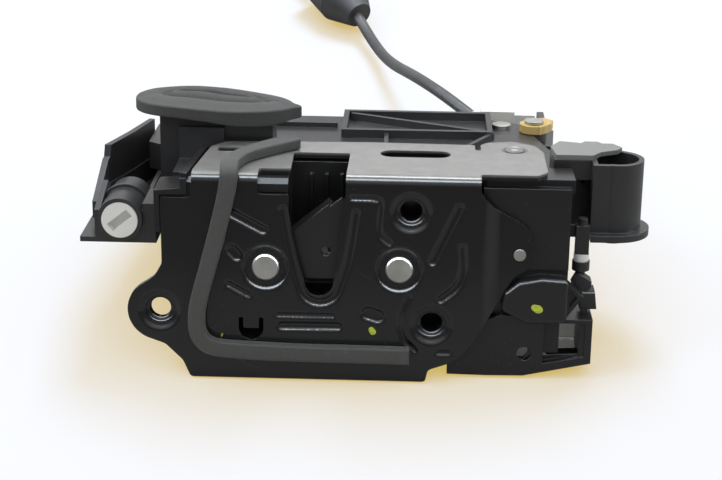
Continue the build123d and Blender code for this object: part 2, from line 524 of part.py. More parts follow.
# ---- latch housing: the moulding that carries the claw and pawl, with the deep well behind the slot
UNDER_TABLE = [(-5.0, -30.0), (60.0, -30.0), (60.0, (60.0 - STEEL_T) * TABLE_SLOPE + 0.4), (STEEL_T, 0.4),
               (-5.0, 0.4)]
HOUSING_TOP = FACE_TOP - 2.2
HOUSING_OUTLINE = [(-42.0, 12.0), (-38.0, 3.0), (33.0, 2.4), (41.5, 8.4), (47.8, 12.8), (53.0, 22.0),
                   (53.4, HOUSING_TOP - 4.0), (51.5, HOUSING_TOP), (-46.4, HOUSING_TOP), (-46.4, HOUSING_TOP - 3.2),
                   (-55.2, HOUSING_TOP - 4.2), (-55.2, 52.0), (-50.0, 50.0), (-50.0, 40.0), (-42.0, 34.0)]
with BuildPart() as latch_housing:
    slab(HOUSING_OUTLINE, STEEL_T, FLOOR_FAR)
    # the lip that follows the shoulder of the face plate
    slab([(-55.2, 52.0), (-55.2, HOUSING_TOP - 4.2), (-46.4, HOUSING_TOP - 3.2), (-46.4, HOUSING_TOP),
          (-44.2, HOUSING_TOP), (-44.2, SHOULDER_TOP + 0.9), (-53.3, SHOULDER_TOP + 0.7), (-53.3, 52.0)], 0.6, STEEL_T)
    tray([(-46.4, 2.0), (-44.0, 2.0), (-41.2, 33.0), (-36.0, FLANGE_DEPTH), (-37.4, FLANGE_DEPTH + 1.0),
          (-43.4, 34.0)], HOUSING_TOP - 2.0, FACE_TOP - 0.6)
    # the claw's room
    with BuildSketch(front(CAVITY_FAR)) as room:
        with Locations(CLAW_AT):
            Circle(JAW_TIP_R + 1.0)
        with Locations((CLAW_AT[0] - 33.0, CLAW_AT[1])):
            Rectangle(40.0, 80.0, mode=Mode.SUBTRACT)
        with Locations((CLAW_AT[0], CLAW_AT[1] + 46.0)):
            Rectangle(90.0, 40.0, mode=Mode.SUBTRACT)
    extrude(room.sketch, amount=CAVITY_FAR - STEEL_T, mode=Mode.SUBTRACT)
    # the way that the jaw's tip sweeps
    slab([CLAW_AT] + arc(SKIN_TIP_R + 1.0, JAW_ANGLE - CLAW_TURN - 8.0, JAW_ANGLE + 5.0, CLAW_AT),
         STEEL_T, CAVITY_FAR,
         mode=Mode.SUBTRACT)
    # the pawl's room
    slab([(20.0, 49.0), (34.0, 49.0), (37.0, 34.0), (28.0, 22.0), (13.0, 5.6), (-2.0, 5.6), (-6.0, 14.0),
          (8.0, 30.0)], STEEL_T, CAVITY_FAR, mode=Mode.SUBTRACT)
    # spring pockets, pin seats, and the arc the pawl's stud swings along
    for centre in (CLAW_AT, PAWL_AT):
        rod(*centre, 12.0, CAVITY_FAR - 1.0, POCKET_FAR, mode=Mode.SUBTRACT)
        rod(*centre, PIN_R, STEEL_T, FLOOR_FAR, mode=Mode.SUBTRACT)
        rod(*centre, PIN_DISH_R + 1.1, STEEL_T, STEEL_T + PIN_DISH_DEPTH + 0.3, mode=Mode.SUBTRACT)
    for step in range(5):
        at = polar(STUD_REACH, STUD_ANGLE + PAWL_TURN * step / 4.0, PAWL_AT)
        rod(*at, STUD_R + STUD_SLOT_GAP, CAVITY_FAR, FLOOR_FAR, mode=Mode.SUBTRACT)
    # blind rooms for the collars of the fixing threads and for the ends of their screws
    for x, z in (UPPER_FIX, LOWER_FIX):
        rod(x, z, COLLAR_ROOM_R, STEEL_T, FLOOR_FAR - 1.2, mode=Mode.SUBTRACT)
    # the well: a deep channel behind the striker slot, open at the top
    box(WELL_LEFT - RIB_T, WELL_RIGHT + RIB_T, FLOOR_FAR, WELL_FAR + RIB_T, SLOT_FOOT - SLOT_FOOT_R - RIB_T,
        HOUSING_TOP - 0.8)
    box(WELL_LEFT, WELL_RIGHT, STEEL_T, WELL_FAR, SLOT_FOOT - SLOT_FOOT_R, HOUSING_TOP + 1.2, mode=Mode.SUBTRACT)
    for x in (-4.6, 0.6, 5.8):
        box(x, x + 1.2, WELL_FAR - 1.4, WELL_FAR, SLOT_FOOT - SLOT_FOOT_R, HOUSING_TOP - 4.8)
    # room for the inside of the face plate's bend
    gable([(STEEL_T - 0.1, HOUSING_TOP - 1.6), (STEEL_T, HOUSING_TOP - 1.6), (STEEL_T + 1.8, HOUSING_TOP + 0.2),
           (STEEL_T - 0.1, HOUSING_TOP + 0.2)], -44.4, 54.0, mode=Mode.SUBTRACT)
    # the underside follows the table the latch stands on
    gable(UNDER_TABLE, -60.0, 60.0, mode=Mode.SUBTRACT)
finish("latch_housing", latch_housing.part)

# ---- bump stop under the claw's lower jaw
with BuildPart() as bump_stop:
    box(-4.2, 4.2, CAVITY_FAR + 0.2, WELL_FAR - 2.0, SLOT_FOOT - SLOT_FOOT_R, SLOT_FOOT - SLOT_FOOT_R + 3.6)
    fillet(bump_stop.faces().sort_by(Axis.Z)[-1].edges().filter_by(Axis.Y), 1.6)
finish("bump_stop", bump_stop.part)

# ---- back plate: the steel plate that closes the latch behind its housing
with BuildPart() as back_plate:
    slab([(-40.0, 15.0), (-35.0, 9.0), (31.0, 9.0), (40.0, 11.0), (51.0, 23.0), (51.5, 66.0), (12.9, 66.0),
          (12.9, SLOT_FOOT - SLOT_FOOT_R - RIB_T - 0.2), (WELL_LEFT - RIB_T - 0.3, SLOT_FOOT - SLOT_FOOT_R - RIB_T - 0.2),
          (WELL_LEFT - RIB_T - 0.3, 66.0), (-40.0, 66.0)], FLOOR_FAR, BACK_PLATE_FAR)
    for centre in (CLAW_AT, PAWL_AT):
        rod(*centre, PIN_R, FLOOR_FAR, BACK_PLATE_FAR, mode=Mode.SUBTRACT)
    for step in range(5):
        at = polar(STUD_REACH, STUD_ANGLE + PAWL_TURN * step / 4.0, PAWL_AT)
        rod(*at, STUD_R + STUD_SLOT_GAP, FLOOR_FAR, BACK_PLATE_FAR, mode=Mode.SUBTRACT)
finish("back_plate", back_plate.part)

# ---- foam strip down the face, along its foot and over the flange
with BuildPart() as foam_strip:
    slab(strip([(-29.6, FACE_TOP), (-30.4, 68.0), (-33.6, 54.0), (-40.6, 28.0), (-41.4, 20.0), (-39.0, 13.4),
                (-33.0, 11.4), (-8.0, 10.6), (31.0, 10.4)], FOAM_W)[:], -FOAM_T, 0.0)
    tray(strip([(-29.6, -FOAM_T), (-29.6, 8.0), (-27.5, 20.0), (-19.0, 33.0), (-10.0, 40.6)], FOAM_W),
         FACE_TOP, FACE_TOP + FOAM_T)
    slab([(-32.5, FACE_TOP - 4.0), (-26.7, FACE_TOP - 4.0), (-26.7, FACE_TOP + FOAM_T),
          (-32.5, FACE_TOP + FOAM_T)], -FOAM_T, 0.0)
finish("foam_strip", foam_strip.part)

# ================================================================ the levers to the right of the face
# ---- side housing: flat upper block, rounded pillow and the lever guard below it
with BuildPart() as side_housing:
    slab([(54.6, 40.0), (84.0, 40.0), (84.0, FACE_TOP - 4.6), (54.6, FACE_TOP - 4.6)], SIDE_FRONT, SIDE_FAR)
    slab([(55.6, FACE_TOP - 7.0), (85.2, FACE_TOP - 7.0), (85.2, FACE_TOP - 2.1), (55.6, FACE_TOP - 2.1)],
         SIDE_FRONT + 3.0, SIDE_FAR)
    slab([(54.6, 23.5), (84.0, 23.5), (84.0, 42.0), (54.6, 42.0)], SIDE_FRONT + 1.0, SIDE_FAR)
    # the pillow
    slab([(61.6, 26.4), (62.6, 32.6), (67.4, 36.6), (75.0, 38.2), (84.0, 37.6), (84.0, 22.2), (70.4, 21.8)],
         PILLOW_NEAR, SIDE_FAR, corner=1.8)
    fillet([e for e in side_housing.edges() if abs(e.center().Y - PILLOW_NEAR) < 0.01], 1.4)
    # the lever guard: from behind the face plate's cut corner out to the right end wall
    slab([(57.0, 1.6), (70.0, 1.8), (93.0, 6.8), (93.0, 22.8), (76.0, 22.8), (62.0, 24.0), (57.0, 22.0)],
         GUARD_NEAR, SIDE_FAR)
    slab([(44.0, 1.8), (57.5, 1.6), (57.5, 22.2), (53.6, 21.6), (48.4, 12.5), (44.0, 9.6)],
         GUARD_NEAR, GUARD_NEAR + 3.0)
    # hollow from behind, leaving the walls
    slab([(56.8, 42.4), (81.8, 42.4), (81.8, FACE_TOP - 6.6), (56.8, FACE_TOP - 6.6)],
         SIDE_FRONT + WALL + 0.6, SIDE_FAR,
         mode=Mode.SUBTRACT)
    slab([(64.4, 26.6), (82.0, 26.6), (82.0, 35.4), (66.0, 34.4)], PILLOW_NEAR + WALL, SIDE_FAR, mode=Mode.SUBTRACT)
    slab([(57.4, 8.4), (76.8, 8.4), (90.8, 9.2), (90.8, 21.4), (57.4, 21.4)], GUARD_NEAR + WALL, SIDE_FAR,
         mode=Mode.SUBTRACT)
    # room for the lever's end to move down
    box(78.0, 90.8, OUTSIDE_NEAR - 2.2, OUTSIDE_FAR + 0.6, 6.6, 9.6, mode=Mode.SUBTRACT)
    # the window with the lever's end behind it, and the half-round peep hole
    slab([(76.6, 6.4), (90.6, 9.2), (90.6, 21.4), (76.6, 21.4)],
         GUARD_NEAR, GUARD_NEAR + WALL + 1.0, mode=Mode.SUBTRACT)
    box(88.6, 90.8, GUARD_NEAR + 0.6, SIDE_FAR, 8.2, 22.0)
    rod(70.1, 9.9, 2.5, GUARD_NEAR, GUARD_NEAR + WALL, mode=Mode.SUBTRACT)
    slab([(69.2, 7.0), (72.9, 9.4), (72.9, 13.0), (71.6, 13.0), (71.4, 9.9)], GUARD_NEAR + 0.8, GUARD_NEAR + WALL)
    # the blind wall that hides the lever's arm behind the window
    box(76.0, 82.0, OUTSIDE_NEAR - 3.2, OUTSIDE_NEAR - 2.2, 9.6, 21.8)
    # the three-cornered gusset beside the pillow
    slab([(83.2, 36.4), (89.4, 31.0), (83.2, 22.4)], GUARD_NEAR, SIDE_FRONT + 3.0)
    slab([(84.8, 33.2), (87.4, 30.8), (84.8, 27.2)], GUARD_NEAR, GUARD_NEAR + 1.2, mode=Mode.SUBTRACT)
    # the post that carries the outside lever, and the tab rivet's seat
    rod(*OUTSIDE_AT, 5.0, GUARD_NEAR + WALL, OUTSIDE_NEAR - SIDE_GAP)
    rod(*OUTSIDE_AT, OUTSIDE_PIN_R, GUARD_NEAR + WALL, SIDE_FAR, mode=Mode.SUBTRACT)
    rod(*TAB_RIVET, RIVET_R + 3.0, SIDE_FRONT, SIDE_FRONT + 6.0)
    rod(*TAB_RIVET, RIVET_R, SIDE_FRONT, SIDE_FRONT + 4.0, mode=Mode.SUBTRACT)
    # the lug that guides the upright link
    box(83.0, 91.0, 15.0, 18.0, 48.6, 53.0)
    # the arm that ties the guard to the back plate
    box(47.0, 58.0, BACK_PLATE_FAR, SIDE_FAR, 48.0, 58.0)
    # the underside follows the table the latch stands on
    gable(UNDER_TABLE, 40.0, 100.0, mode=Mode.SUBTRACT)
finish("side_housing", side_housing.part)

with BuildPart() as outside_pin:
    rod(*OUTSIDE_AT, OUTSIDE_PIN_R, GUARD_NEAR + WALL, OUTSIDE_FAR + SIDE_GAP)
    rod(*OUTSIDE_AT, OUTSIDE_PIN_R + 1.4, OUTSIDE_FAR + SIDE_GAP, OUTSIDE_FAR + SIDE_GAP + 1.0)
finish("outside_pin", outside_pin.part)

with BuildPart() as outside_lever:
    rod(*OUTSIDE_AT, 5.4, OUTSIDE_NEAR, OUTSIDE_FAR)
    slab([(OUTSIDE_AT[0], OUTSIDE_AT[1] - 4.4), (76.0, 11.6), (82.0, 11.2), (82.0, 20.8), (76.0, 19.4),
          (OUTSIDE_AT[0], OUTSIDE_AT[1] + 4.4)], OUTSIDE_NEAR, OUTSIDE_FAR)
    # the bent end that the outside handle pulls on
    box(81.9, 87.6, OUTSIDE_NEAR - 1.6, OUTSIDE_FAR, 11.2, 14.2)
    box(81.9, 87.6, OUTSIDE_NEAR - 0.6, OUTSIDE_FAR, 14.2, 20.8)
    rod(*OUTSIDE_AT, OUTSIDE_PIN_R + RUNNING_GAP, OUTSIDE_NEAR, OUTSIDE_FAR, mode=Mode.SUBTRACT)
finish("outside_lever", outside_lever.part)

# ---- the upright link at the right end: rod, clip, knob and the two plastic levers it carries
with BuildPart() as link_rod:
    post(88.9, 13.4, 1.6, 33.0, 56.0)
    box(86.6, 91.2, 11.8, 15.0, 43.4, 53.6)
finish("link_rod", link_rod.part)

with BuildPart() as rod_clip:
    post(88.9, 13.4, 2.6, 40.9, 43.4)
    post(88.9, 13.4, 1.6, 40.9, 43.4, mode=Mode.SUBTRACT)
finish("rod_clip", rod_clip.part)

with BuildPart() as rod_knob:
    post(88.9, 13.4, 3.0, 37.6, 40.9)
    post(88.9, 13.4, 1.6, 37.6, 40.9, mode=Mode.SUBTRACT)
finish("rod_knob", rod_knob.part)

with BuildPart() as upper_link:
    slab([(85.8, 33.0), (88.0, 37.2), (92.6, 34.2), (92.3, 32.2), (90.8, 31.0), (88.8, 31.0)], 9.6, 15.4)
    post(88.9, 13.4, 1.6, 33.0, 38.0, mode=Mode.SUBTRACT)
finish("upper_link", upper_link.part)

with BuildPart() as lower_link:
    slab([(88.8, 24.6), (94.6, 24.6), (93.8, 31.0), (89.0, 31.0)], 8.6, 16.0)
    fillet(lower_link.faces().sort_by(Axis.Y)[0].edges().filter_by(Axis.X), 0.8)
    slab([(89.4, 22.8), (91.6, 22.8), (91.6, 24.6), (89.4, 24.6)], 9.0, 12.0)
finish("lower_link", lower_link.part)

# ================================================================ the actuator module
BASE_PLAN = [(-76.4, 6.5), (-55.6, 6.5), (-55.6, MODULE_NEAR), (-14.0, MODULE_NEAR), (-14.0, 30.5), (14.0, 30.5),
             (14.0, MODULE_NEAR), (84.5, MODULE_NEAR), (92.0, 29.0), (92.0, 46.0), (80.0, 62.0), (72.0, 96.0),
             (58.0, MODULE_FAR), (-34.0, MODULE_FAR), (-60.0, 100.0), (-68.0, 81.0), (-73.0, 61.0), (-79.0, 42.0)]
COVER_PLAN = [(-14.0, MODULE_NEAR), (-14.0, 30.5), (14.0, 30.5), (14.0, MODULE_NEAR), (84.5, MODULE_NEAR),
              (92.0, 29.0), (92.0, 46.0), (80.0, 62.0), (72.0, 96.0), (58.0, MODULE_FAR), (-34.0, MODULE_FAR),
              (-60.0, 100.0), (-66.0, 86.0), (-66.0, 62.0), (-52.0, 52.0), (-52.0, MODULE_NEAR)]


def inset(points, depth):
    """The outline drawn a distance inside a level outline."""
    return offset(outline_on(Plane.XY, points, 0.0), amount=-depth, kind=Kind.INTERSECTION, mode=Mode.PRIVATE)


def hollow(points, depth, low, high):
    """Clears the room inside the walls of a level outline between two heights."""
    extrude(inset(points, depth).moved(Location((0, 0, low))), amount=high - low, mode=Mode.SUBTRACT)


with BuildPart() as actuator_base:
    tray(BASE_PLAN, BASE_LOW, SPLIT)
    # the foot that holds the lock motor and stands on the table
    box(FOOT_LEFT, FOOT_RIGHT, FOOT_NEAR, MODULE_FAR, FOOT_LOW, BASE_LOW + 1.0)
    hollow(BASE_PLAN, WALL, BASE_LOW + WALL, SPLIT)
    box(FOOT_LEFT + WALL, FOOT_RIGHT - WALL, FOOT_NEAR + WALL, MODULE_FAR - WALL, FOOT_LOW + WALL, SPLIT,
        mode=Mode.SUBTRACT)
    # the open bay at the left end, with its higher outer wall and lip
    tray([(-79.6, 20.0), (-79.6, 42.0), (-73.6, 61.4), (-68.6, 81.0), (-66.6, 80.4), (-71.4, 61.0), (-77.4, 41.6),
          (-77.4, 20.0)], BASE_LOW + 4.0, BAY_WALL_TOP)
    gable([(19.0, 55.6), (24.0, 57.6), (43.0, 65.4), (44.0, 69.6), (100.0, BAY_WALL_TOP + 1.0),
           (19.0, BAY_WALL_TOP + 1.0)], -82.0, -75.0, mode=Mode.SUBTRACT)
    tray([(-81.6, 6.5), (-75.0, 6.5), (-75.0, 24.0), (-79.6, 42.0), (-81.6, 42.0)], BASE_LOW, BASE_LOW + 1.8)
    box(-76.4, -55.6, 6.5, 8.5, BASE_LOW, 57.4)
    gable([(6.5, BASE_LOW), (6.5, 57.4), (24.0, 62.6), (24.0, BASE_LOW)], -76.4, -74.4)
    box(-60.0, -55.6, 6.5, 24.0, BASE_LOW, 60.0)
    # ribs across the bay
    for y in (24.0, 33.0):
        box(-77.6, -56.0, y, y + RIB_T, BASE_LOW, 52.0)
    box(-61.5, -59.9, BARREL_FAR + 0.6, 52.0, BASE_LOW, 58.0)
    # the cradle under the rotor's barrel
    box(ROTOR_AT[0] - 8.4, ROTOR_AT[0] + 8.4, 6.5, 30.0, BASE_LOW, ROTOR_AT[1])
    rod(*ROTOR_AT, BARREL_R, 0.0, BARREL_FAR, mode=Mode.SUBTRACT)
    rod(*ROTOR_AT, BARREL_R + COLLAR_W, *COLLAR_SPAN, mode=Mode.SUBTRACT)
    # saddles under the lock motor
    for x in (MOTOR_FROM + 4.0, MOTOR_TO - 6.0):
        box(x, x + RIB_T, MOTOR_Y - 13.0, MOTOR_Y + 13.0, FOOT_LOW, MOTOR_Z)
    box(MOTOR_TO + 0.3, MOTOR_TO + 3.4, MOTOR_Y - 6.0, MOTOR_Y + 13.0, FOOT_LOW, 54.0)
    axle(MOTOR_Y, MOTOR_Z, MOTOR_R, MOTOR_FROM, MOTOR_TO, mode=Mode.SUBTRACT)
    axle(MOTOR_Y, MOTOR_Z, 3.0, MOTOR_TO, WORM_TO + 3.0, mode=Mode.SUBTRACT)
    box(WORM_TO + 2.0, WORM_TO + 5.0, MOTOR_Y - 6.0, MOTOR_Y + 6.0, FOOT_LOW, 52.0)
    axle(MOTOR_Y, MOTOR_Z, MOTOR_SHAFT_R + RUNNING_GAP, WORM_TO, WORM_TO + 4.0, mode=Mode.SUBTRACT)
    # posts for the worm wheel and the lock lever
    post(WHEEL_X, WHEEL_Y, POST_R + 2.5, FOOT_LOW, WHEEL_LOW - SIDE_GAP)
    post(WHEEL_X, WHEEL_Y, POST_R, WHEEL_LOW - SIDE_GAP, WHEEL_HIGH + 2.0)
    post(*LOCK_AT, POST_R + 2.5, FOOT_LOW if LOCK_AT[1] > FOOT_NEAR else BASE_LOW, LOCK_LOW - SIDE_GAP)
    post(*LOCK_AT, POST_R, LOCK_LOW - SIDE_GAP, LOCK_HIGH + 2.0)
    # bosses that meet the latch's back plate, and the arm under the key hood
    for x, z in BOSSES:
        rod(x, z, 4.0, BACK_PLATE_FAR, MODULE_NEAR + 1.0)
    # rests for the circuit board
    for x, y in ((-49.0, 44.0), (-20.0, 29.0), (-25.0, 55.0)):
        post(x, y, 2.0, BASE_LOW if y < FOOT_NEAR else FOOT_LOW, BOARD_LOW)
    # bosses for the cover screws
    for x, y in SCREWS:
        post(x, y, SCREW_BOSS_R, BASE_LOW, SPLIT)
        post(x, y, SCREW_R, BASE_LOW + WALL, SPLIT, mode=Mode.SUBTRACT)
finish("actuator_base", actuator_base.part)

with BuildPart() as actuator_cover:
    tray(COVER_PLAN, SPLIT, COVER_TOP)
    hollow(COVER_PLAN, WALL, SPLIT, COVER_TOP - WALL)
    # ridge under the flange and the seat of the flange rivet
    box(-30.0, 52.0, 33.0, 35.0, COVER_TOP, FACE_TOP - STEEL_T)
    post(*FLANGE_RIVET, 6.0, COVER_TOP - 0.1, FACE_TOP - STEEL_T)
    post(*FLANGE_RIVET, RIVET_R, COVER_TOP, FACE_TOP, mode=Mode.SUBTRACT)
    # the raised frame along the back
    box(4.0, 60.0, 72.0, 101.0, COVER_TOP, COVER_TOP + 3.4)
    box(6.0, 58.0, 74.0, 99.0, COVER_TOP, COVER_TOP + 3.4, mode=Mode.SUBTRACT)
    tray(strip([(7.0, 98.0), (57.0, 75.0)], RIB_T), COVER_TOP - 0.1, COVER_TOP + 3.0)
    tray(strip([(60.0, 74.0), (46.0, 48.0)], RIB_T), COVER_TOP - 0.1, COVER_TOP + 2.6)
    box(-28.0, 3.0, 52.0, 54.0, COVER_TOP - 0.1, COVER_TOP + 2.0)
    box(-30.0, 2.0, 86.0, 88.0, COVER_TOP - 0.1, COVER_TOP + 2.0)
    box(-30.0, -28.0, 52.0, 88.0, COVER_TOP - 0.1, COVER_TOP + 2.0)
    box(20.0, 21.6, 46.0, 72.0, COVER_TOP - 0.1, COVER_TOP + 2.0)
    # the turret beside the key hood
    box(79.0, 92.0, 25.0, 43.0, COVER_TOP - 0.1, HOOD_TOP)
    box(81.0, 90.0, 27.0, 41.0, COVER_TOP - 2.1, HOOD_TOP, mode=Mode.SUBTRACT)
    # the connector tower with its deep socket
    box(TOWER_LEFT, TOWER_RIGHT, TOWER_NEAR, TOWER_FAR, SPLIT, TOWER_TOP)
    box(TOWER_LEFT + 7.0, TOWER_LEFT + 23.0, TOWER_NEAR - 2.6, TOWER_NEAR, COVER_TOP, RING_TOP - RING_T)
    box(TOWER_LEFT + WALL, TOWER_RIGHT - WALL, TOWER_NEAR + WALL, TOWER_FAR - WALL, TOWER_TOP - SOCKET_DEPTH,
        TOWER_TOP, mode=Mode.SUBTRACT)
    box(TOWER_LEFT + WALL, TOWER_RIGHT - WALL, TOWER_NEAR + WALL, TOWER_FAR - WALL, SPLIT,
        TOWER_TOP - SOCKET_DEPTH - WALL, mode=Mode.SUBTRACT)
    for x, y in PINS:
        box(x - PIN_HALF, x + PIN_HALF, y - PIN_HALF, y + PIN_HALF, SPLIT, TOWER_TOP - SOCKET_DEPTH,
            mode=Mode.SUBTRACT)
    # bosses for the screws, and the holes the screws pass through
    for x, y in SCREWS:
        post(x, y, SCREW_BOSS_R, SPLIT, COVER_TOP)
        post(x, y, SCREW_R + 0.4, SPLIT, COVER_TOP, mode=Mode.SUBTRACT)
    # the seat of the inner lever's pin, and the arm that holds the cable
    post(*INNER_AT, 5.0, COVER_TOP - 3.0, COVER_TOP)
    post(*INNER_AT, 2.0, SPLIT, COVER_TOP, mode=Mode.SUBTRACT)
    tray([(50.0, 100.0), (84.0, 92.0), (86.0, 116.0), (50.0, 118.0)], SHELF_LOW, SHELF_LOW + WALL)
    box(79.0, 81.6, 98.0, 116.0, SHELF_LOW, COVER_TOP)
finish("actuator_cover", actuator_cover.part)

with BuildPart() as cover_screws:
    for x, y in SCREWS:
        post(x, y, SCREW_R, BASE_LOW + WALL + 2.0, COVER_TOP)
        post(x, y, SCREW_R + 1.9, COVER_TOP, COVER_TOP + 1.8)
finish("cover_screws", cover_screws.part)

# ---- lock motor, shaft with worm, worm wheel and lock lever
with BuildPart() as lock_motor:
    with BuildSketch(Plane.YZ.offset(MOTOR_FROM)) as can:
        with Locations((MOTOR_Y, MOTOR_Z)):
            Circle(MOTOR_R)
        with Locations((MOTOR_Y, MOTOR_Z)):
            Rectangle(2 * MOTOR_R, 2 * MOTOR_FLAT, mode=Mode.INTERSECT)
    extrude(can.sketch, amount=MOTOR_TO - MOTOR_FROM)
    axle(MOTOR_Y, MOTOR_Z, 2.9, MOTOR_TO, MOTOR_TO + 2.0)
    axle(MOTOR_Y, MOTOR_Z, MOTOR_SHAFT_R + RUNNING_GAP, MOTOR_FROM + 2.0, MOTOR_TO + 2.0, mode=Mode.SUBTRACT)
finish("lock_motor", lock_motor.part)

with BuildPart() as motor_shaft:
    axle(MOTOR_Y, MOTOR_Z, MOTOR_SHAFT_R, MOTOR_FROM + 3.0, WORM_TO + 3.6)
finish("motor_shaft", motor_shaft.part)

with BuildPart() as worm:
    axle(MOTOR_Y, MOTOR_Z, WORM_ROOT_R, WORM_FROM, WORM_TO)
    for k in range(4):
        start = WORM_FROM + 1.2 + k * 4.4
        axle(MOTOR_Y, MOTOR_Z, WORM_R, start, start + 1.8)
    axle(MOTOR_Y, MOTOR_Z, MOTOR_SHAFT_R, WORM_FROM, WORM_TO, mode=Mode.SUBTRACT)
finish("worm", worm.part)

WHEEL_AT = (WHEEL_X, WHEEL_Y)
CRANK_AT = polar(CRANK_REACH, atan_of(WHEEL_AT, LOCK_AT) - WHEEL_TURN / 2, WHEEL_AT)
FORK_ANGLE = atan_of(LOCK_AT, CRANK_AT)
FORK_MID = hypot(CRANK_AT[0] - LOCK_AT[0], CRANK_AT[1] - LOCK_AT[1])

with BuildPart() as worm_wheel:
    rim = []
    for k in range(WHEEL_TEETH):
        a = 360.0 * k / WHEEL_TEETH
        p = 360.0 / WHEEL_TEETH
        rim += [polar(WHEEL_R - 1.6, a, (WHEEL_X, WHEEL_Y)), polar(WHEEL_R - 1.6, a + p * 0.34, (WHEEL_X, WHEEL_Y)),
                polar(WHEEL_R, a + p * 0.52, (WHEEL_X, WHEEL_Y)), polar(WHEEL_R, a + p * 0.82, (WHEEL_X, WHEEL_Y))]
    tray(rim, WHEEL_LOW, WHEEL_HIGH)
    post(WHEEL_X, WHEEL_Y, POST_R + RUNNING_GAP, WHEEL_LOW, WHEEL_HIGH, mode=Mode.SUBTRACT)
    # the crank pin that swings the lock lever
    post(*CRANK_AT, CRANK_R, WHEEL_HIGH, CRANK_TOP)
finish("worm_wheel", worm_wheel.part)

with BuildPart() as lock_lever:
    tray(strip([LOCK_AT, polar(FORK_MID + 4.2, FORK_ANGLE, LOCK_AT)], LOCK_ARM_W), LOCK_LOW, LOCK_HIGH)
    tray(strip([polar(FORK_MID - 6.0, FORK_ANGLE, LOCK_AT), polar(FORK_MID + 6.0, FORK_ANGLE, LOCK_AT)],
               2 * (CRANK_R + LOCK_FORK_GAP)), LOCK_LOW, LOCK_HIGH, mode=Mode.SUBTRACT)
    tray(strip([LOCK_AT, (34.0, 36.0)], 6.0), LOCK_LOW, LOCK_HIGH)
    post(*LOCK_AT, POST_R + 2.6, LOCK_LOW, LOCK_HIGH)
    post(*LOCK_AT, POST_R + RUNNING_GAP, LOCK_LOW, LOCK_HIGH, mode=Mode.SUBTRACT)
finish("lock_lever", lock_lever.part)

# ---- emergency lock: white slotted rotor in its barrel
with BuildPart() as rotor_barrel:
    rod(*ROTOR_AT, BARREL_R, ROTOR_NEAR + 0.6, BARREL_FAR)
    rod(*ROTOR_AT, ROTOR_R + RUNNING_GAP, ROTOR_NEAR + 0.6, BARREL_FAR - 4.0, mode=Mode.SUBTRACT)
    rod(*ROTOR_AT, BARREL_R + COLLAR_W, *COLLAR_SPAN)
    rod(*ROTOR_AT, ROTOR_R + RUNNING_GAP, *COLLAR_SPAN, mode=Mode.SUBTRACT)
finish("rotor_barrel", rotor_barrel.part)

with BuildPart() as lock_rotor:
    rod(*ROTOR_AT, ROTOR_R, ROTOR_NEAR, BARREL_FAR - 4.0)
    with BuildSketch(front(ROTOR_NEAR + 3.0)) as slot:
        with Locations(Location((ROTOR_AT[0], ROTOR_AT[1]), 38.0)):
            Rectangle(8.4, 3.0)
    extrude(slot.sketch, amount=3.0, mode=Mode.SUBTRACT)
finish("lock_rotor", lock_rotor.part)

# ---- key hood, its nut and the grey lid
def hood_wall(left, grow, low, high, mode=Mode.ADD):
    """A level slab of the hood's rounded shape, grown outward by a distance, between two heights."""
    with BuildSketch(Plane.XY.offset(low)) as plan:
        with Locations((100.6, 28.4)):
            Circle(9.6 + grow)
        with Locations((98.0, 36.8)):
            Circle(4.2 + grow)
        make_hull()
        with Locations(((left + 98.0) / 2, 29.9)):
            Rectangle(98.0 - left, 22.2 + 2 * grow)
        with Locations((left - 10.0, 30.0)):
            Rectangle(20.0, 60.0, mode=Mode.SUBTRACT)
    extrude(plan.sketch, amount=high - low, mode=mode)


with BuildPart() as key_hood:
    hood_wall(92.0, 0.0, HOOD_LOW, HOOD_TOP)
    hood_wall(92.0, 3.0, HOOD_LOW - 2.4, HOOD_LOW)
    hood_wall(92.0 + HOOD_WALL, -HOOD_WALL, HOOD_LOW, HOOD_TOP, mode=Mode.SUBTRACT)
    post(*KEY_AT, KEY_NUT_R + RUNNING_GAP, HOOD_LOW - 2.4, HOOD_LOW, mode=Mode.SUBTRACT)
finish("key_hood", key_hood.part)

with BuildPart() as key_nut:
    post(*KEY_AT, KEY_NUT_R, HOOD_LOW - 4.4, HOOD_LOW + 0.4)
    post(*KEY_AT, KEY_NUT_R + 1.2, HOOD_LOW + 0.4, HOOD_LOW + 5.0)
    post(*KEY_AT, KEY_NUT_R + 1.2, HOOD_LOW - 5.6, HOOD_LOW - 4.4 + 1.6)
    box(KEY_AT[0] - 1.2, KEY_AT[0] + 1.2, KEY_AT[1] - 3.6, KEY_AT[1] + 3.6, HOOD_LOW - 0.6, HOOD_LOW + 5.0,
        mode=Mode.SUBTRACT)
finish("key_nut", key_nut.part)

with BuildPart() as hood_lid:
    tray([(79.8, 25.4), (92.4, 25.4), (95.4, 29.8), (101.4, 33.0), (103.4, 36.4), (100.6, 41.0), (96.8, 41.0),
          (95.4, 43.2), (91.0, 43.2), (89.6, 41.0), (82.2, 43.0), (78.6, 36.0)], HOOD_TOP, HOOD_TOP + 1.6)
finish("hood_lid", hood_lid.part)

# ---- connector: foam ring and pins
with BuildPart() as connector_foam:
    with BuildSketch(Plane.XY.offset(RING_TOP - RING_T)) as ring:
        with Locations((RING_X, RING_Y)):
            Ellipse(RING_LONG / 2, RING_WIDE / 2)
    extrude(ring.sketch, amount=RING_T)
    fillet(connector_foam.edges(), 2.6)
    box(TOWER_LEFT, TOWER_RIGHT, TOWER_NEAR, TOWER_FAR, RING_TOP - RING_T, RING_TOP, mode=Mode.SUBTRACT)
finish("connector_foam", connector_foam.part)

with BuildPart() as connector_pins:
    for x, y in PINS:
        box(x - PIN_HALF, x + PIN_HALF, y - PIN_HALF, y + PIN_HALF, BOARD_LOW + BOARD_T, TOWER_TOP - 8.0)
finish("connector_pins", connector_pins.part)

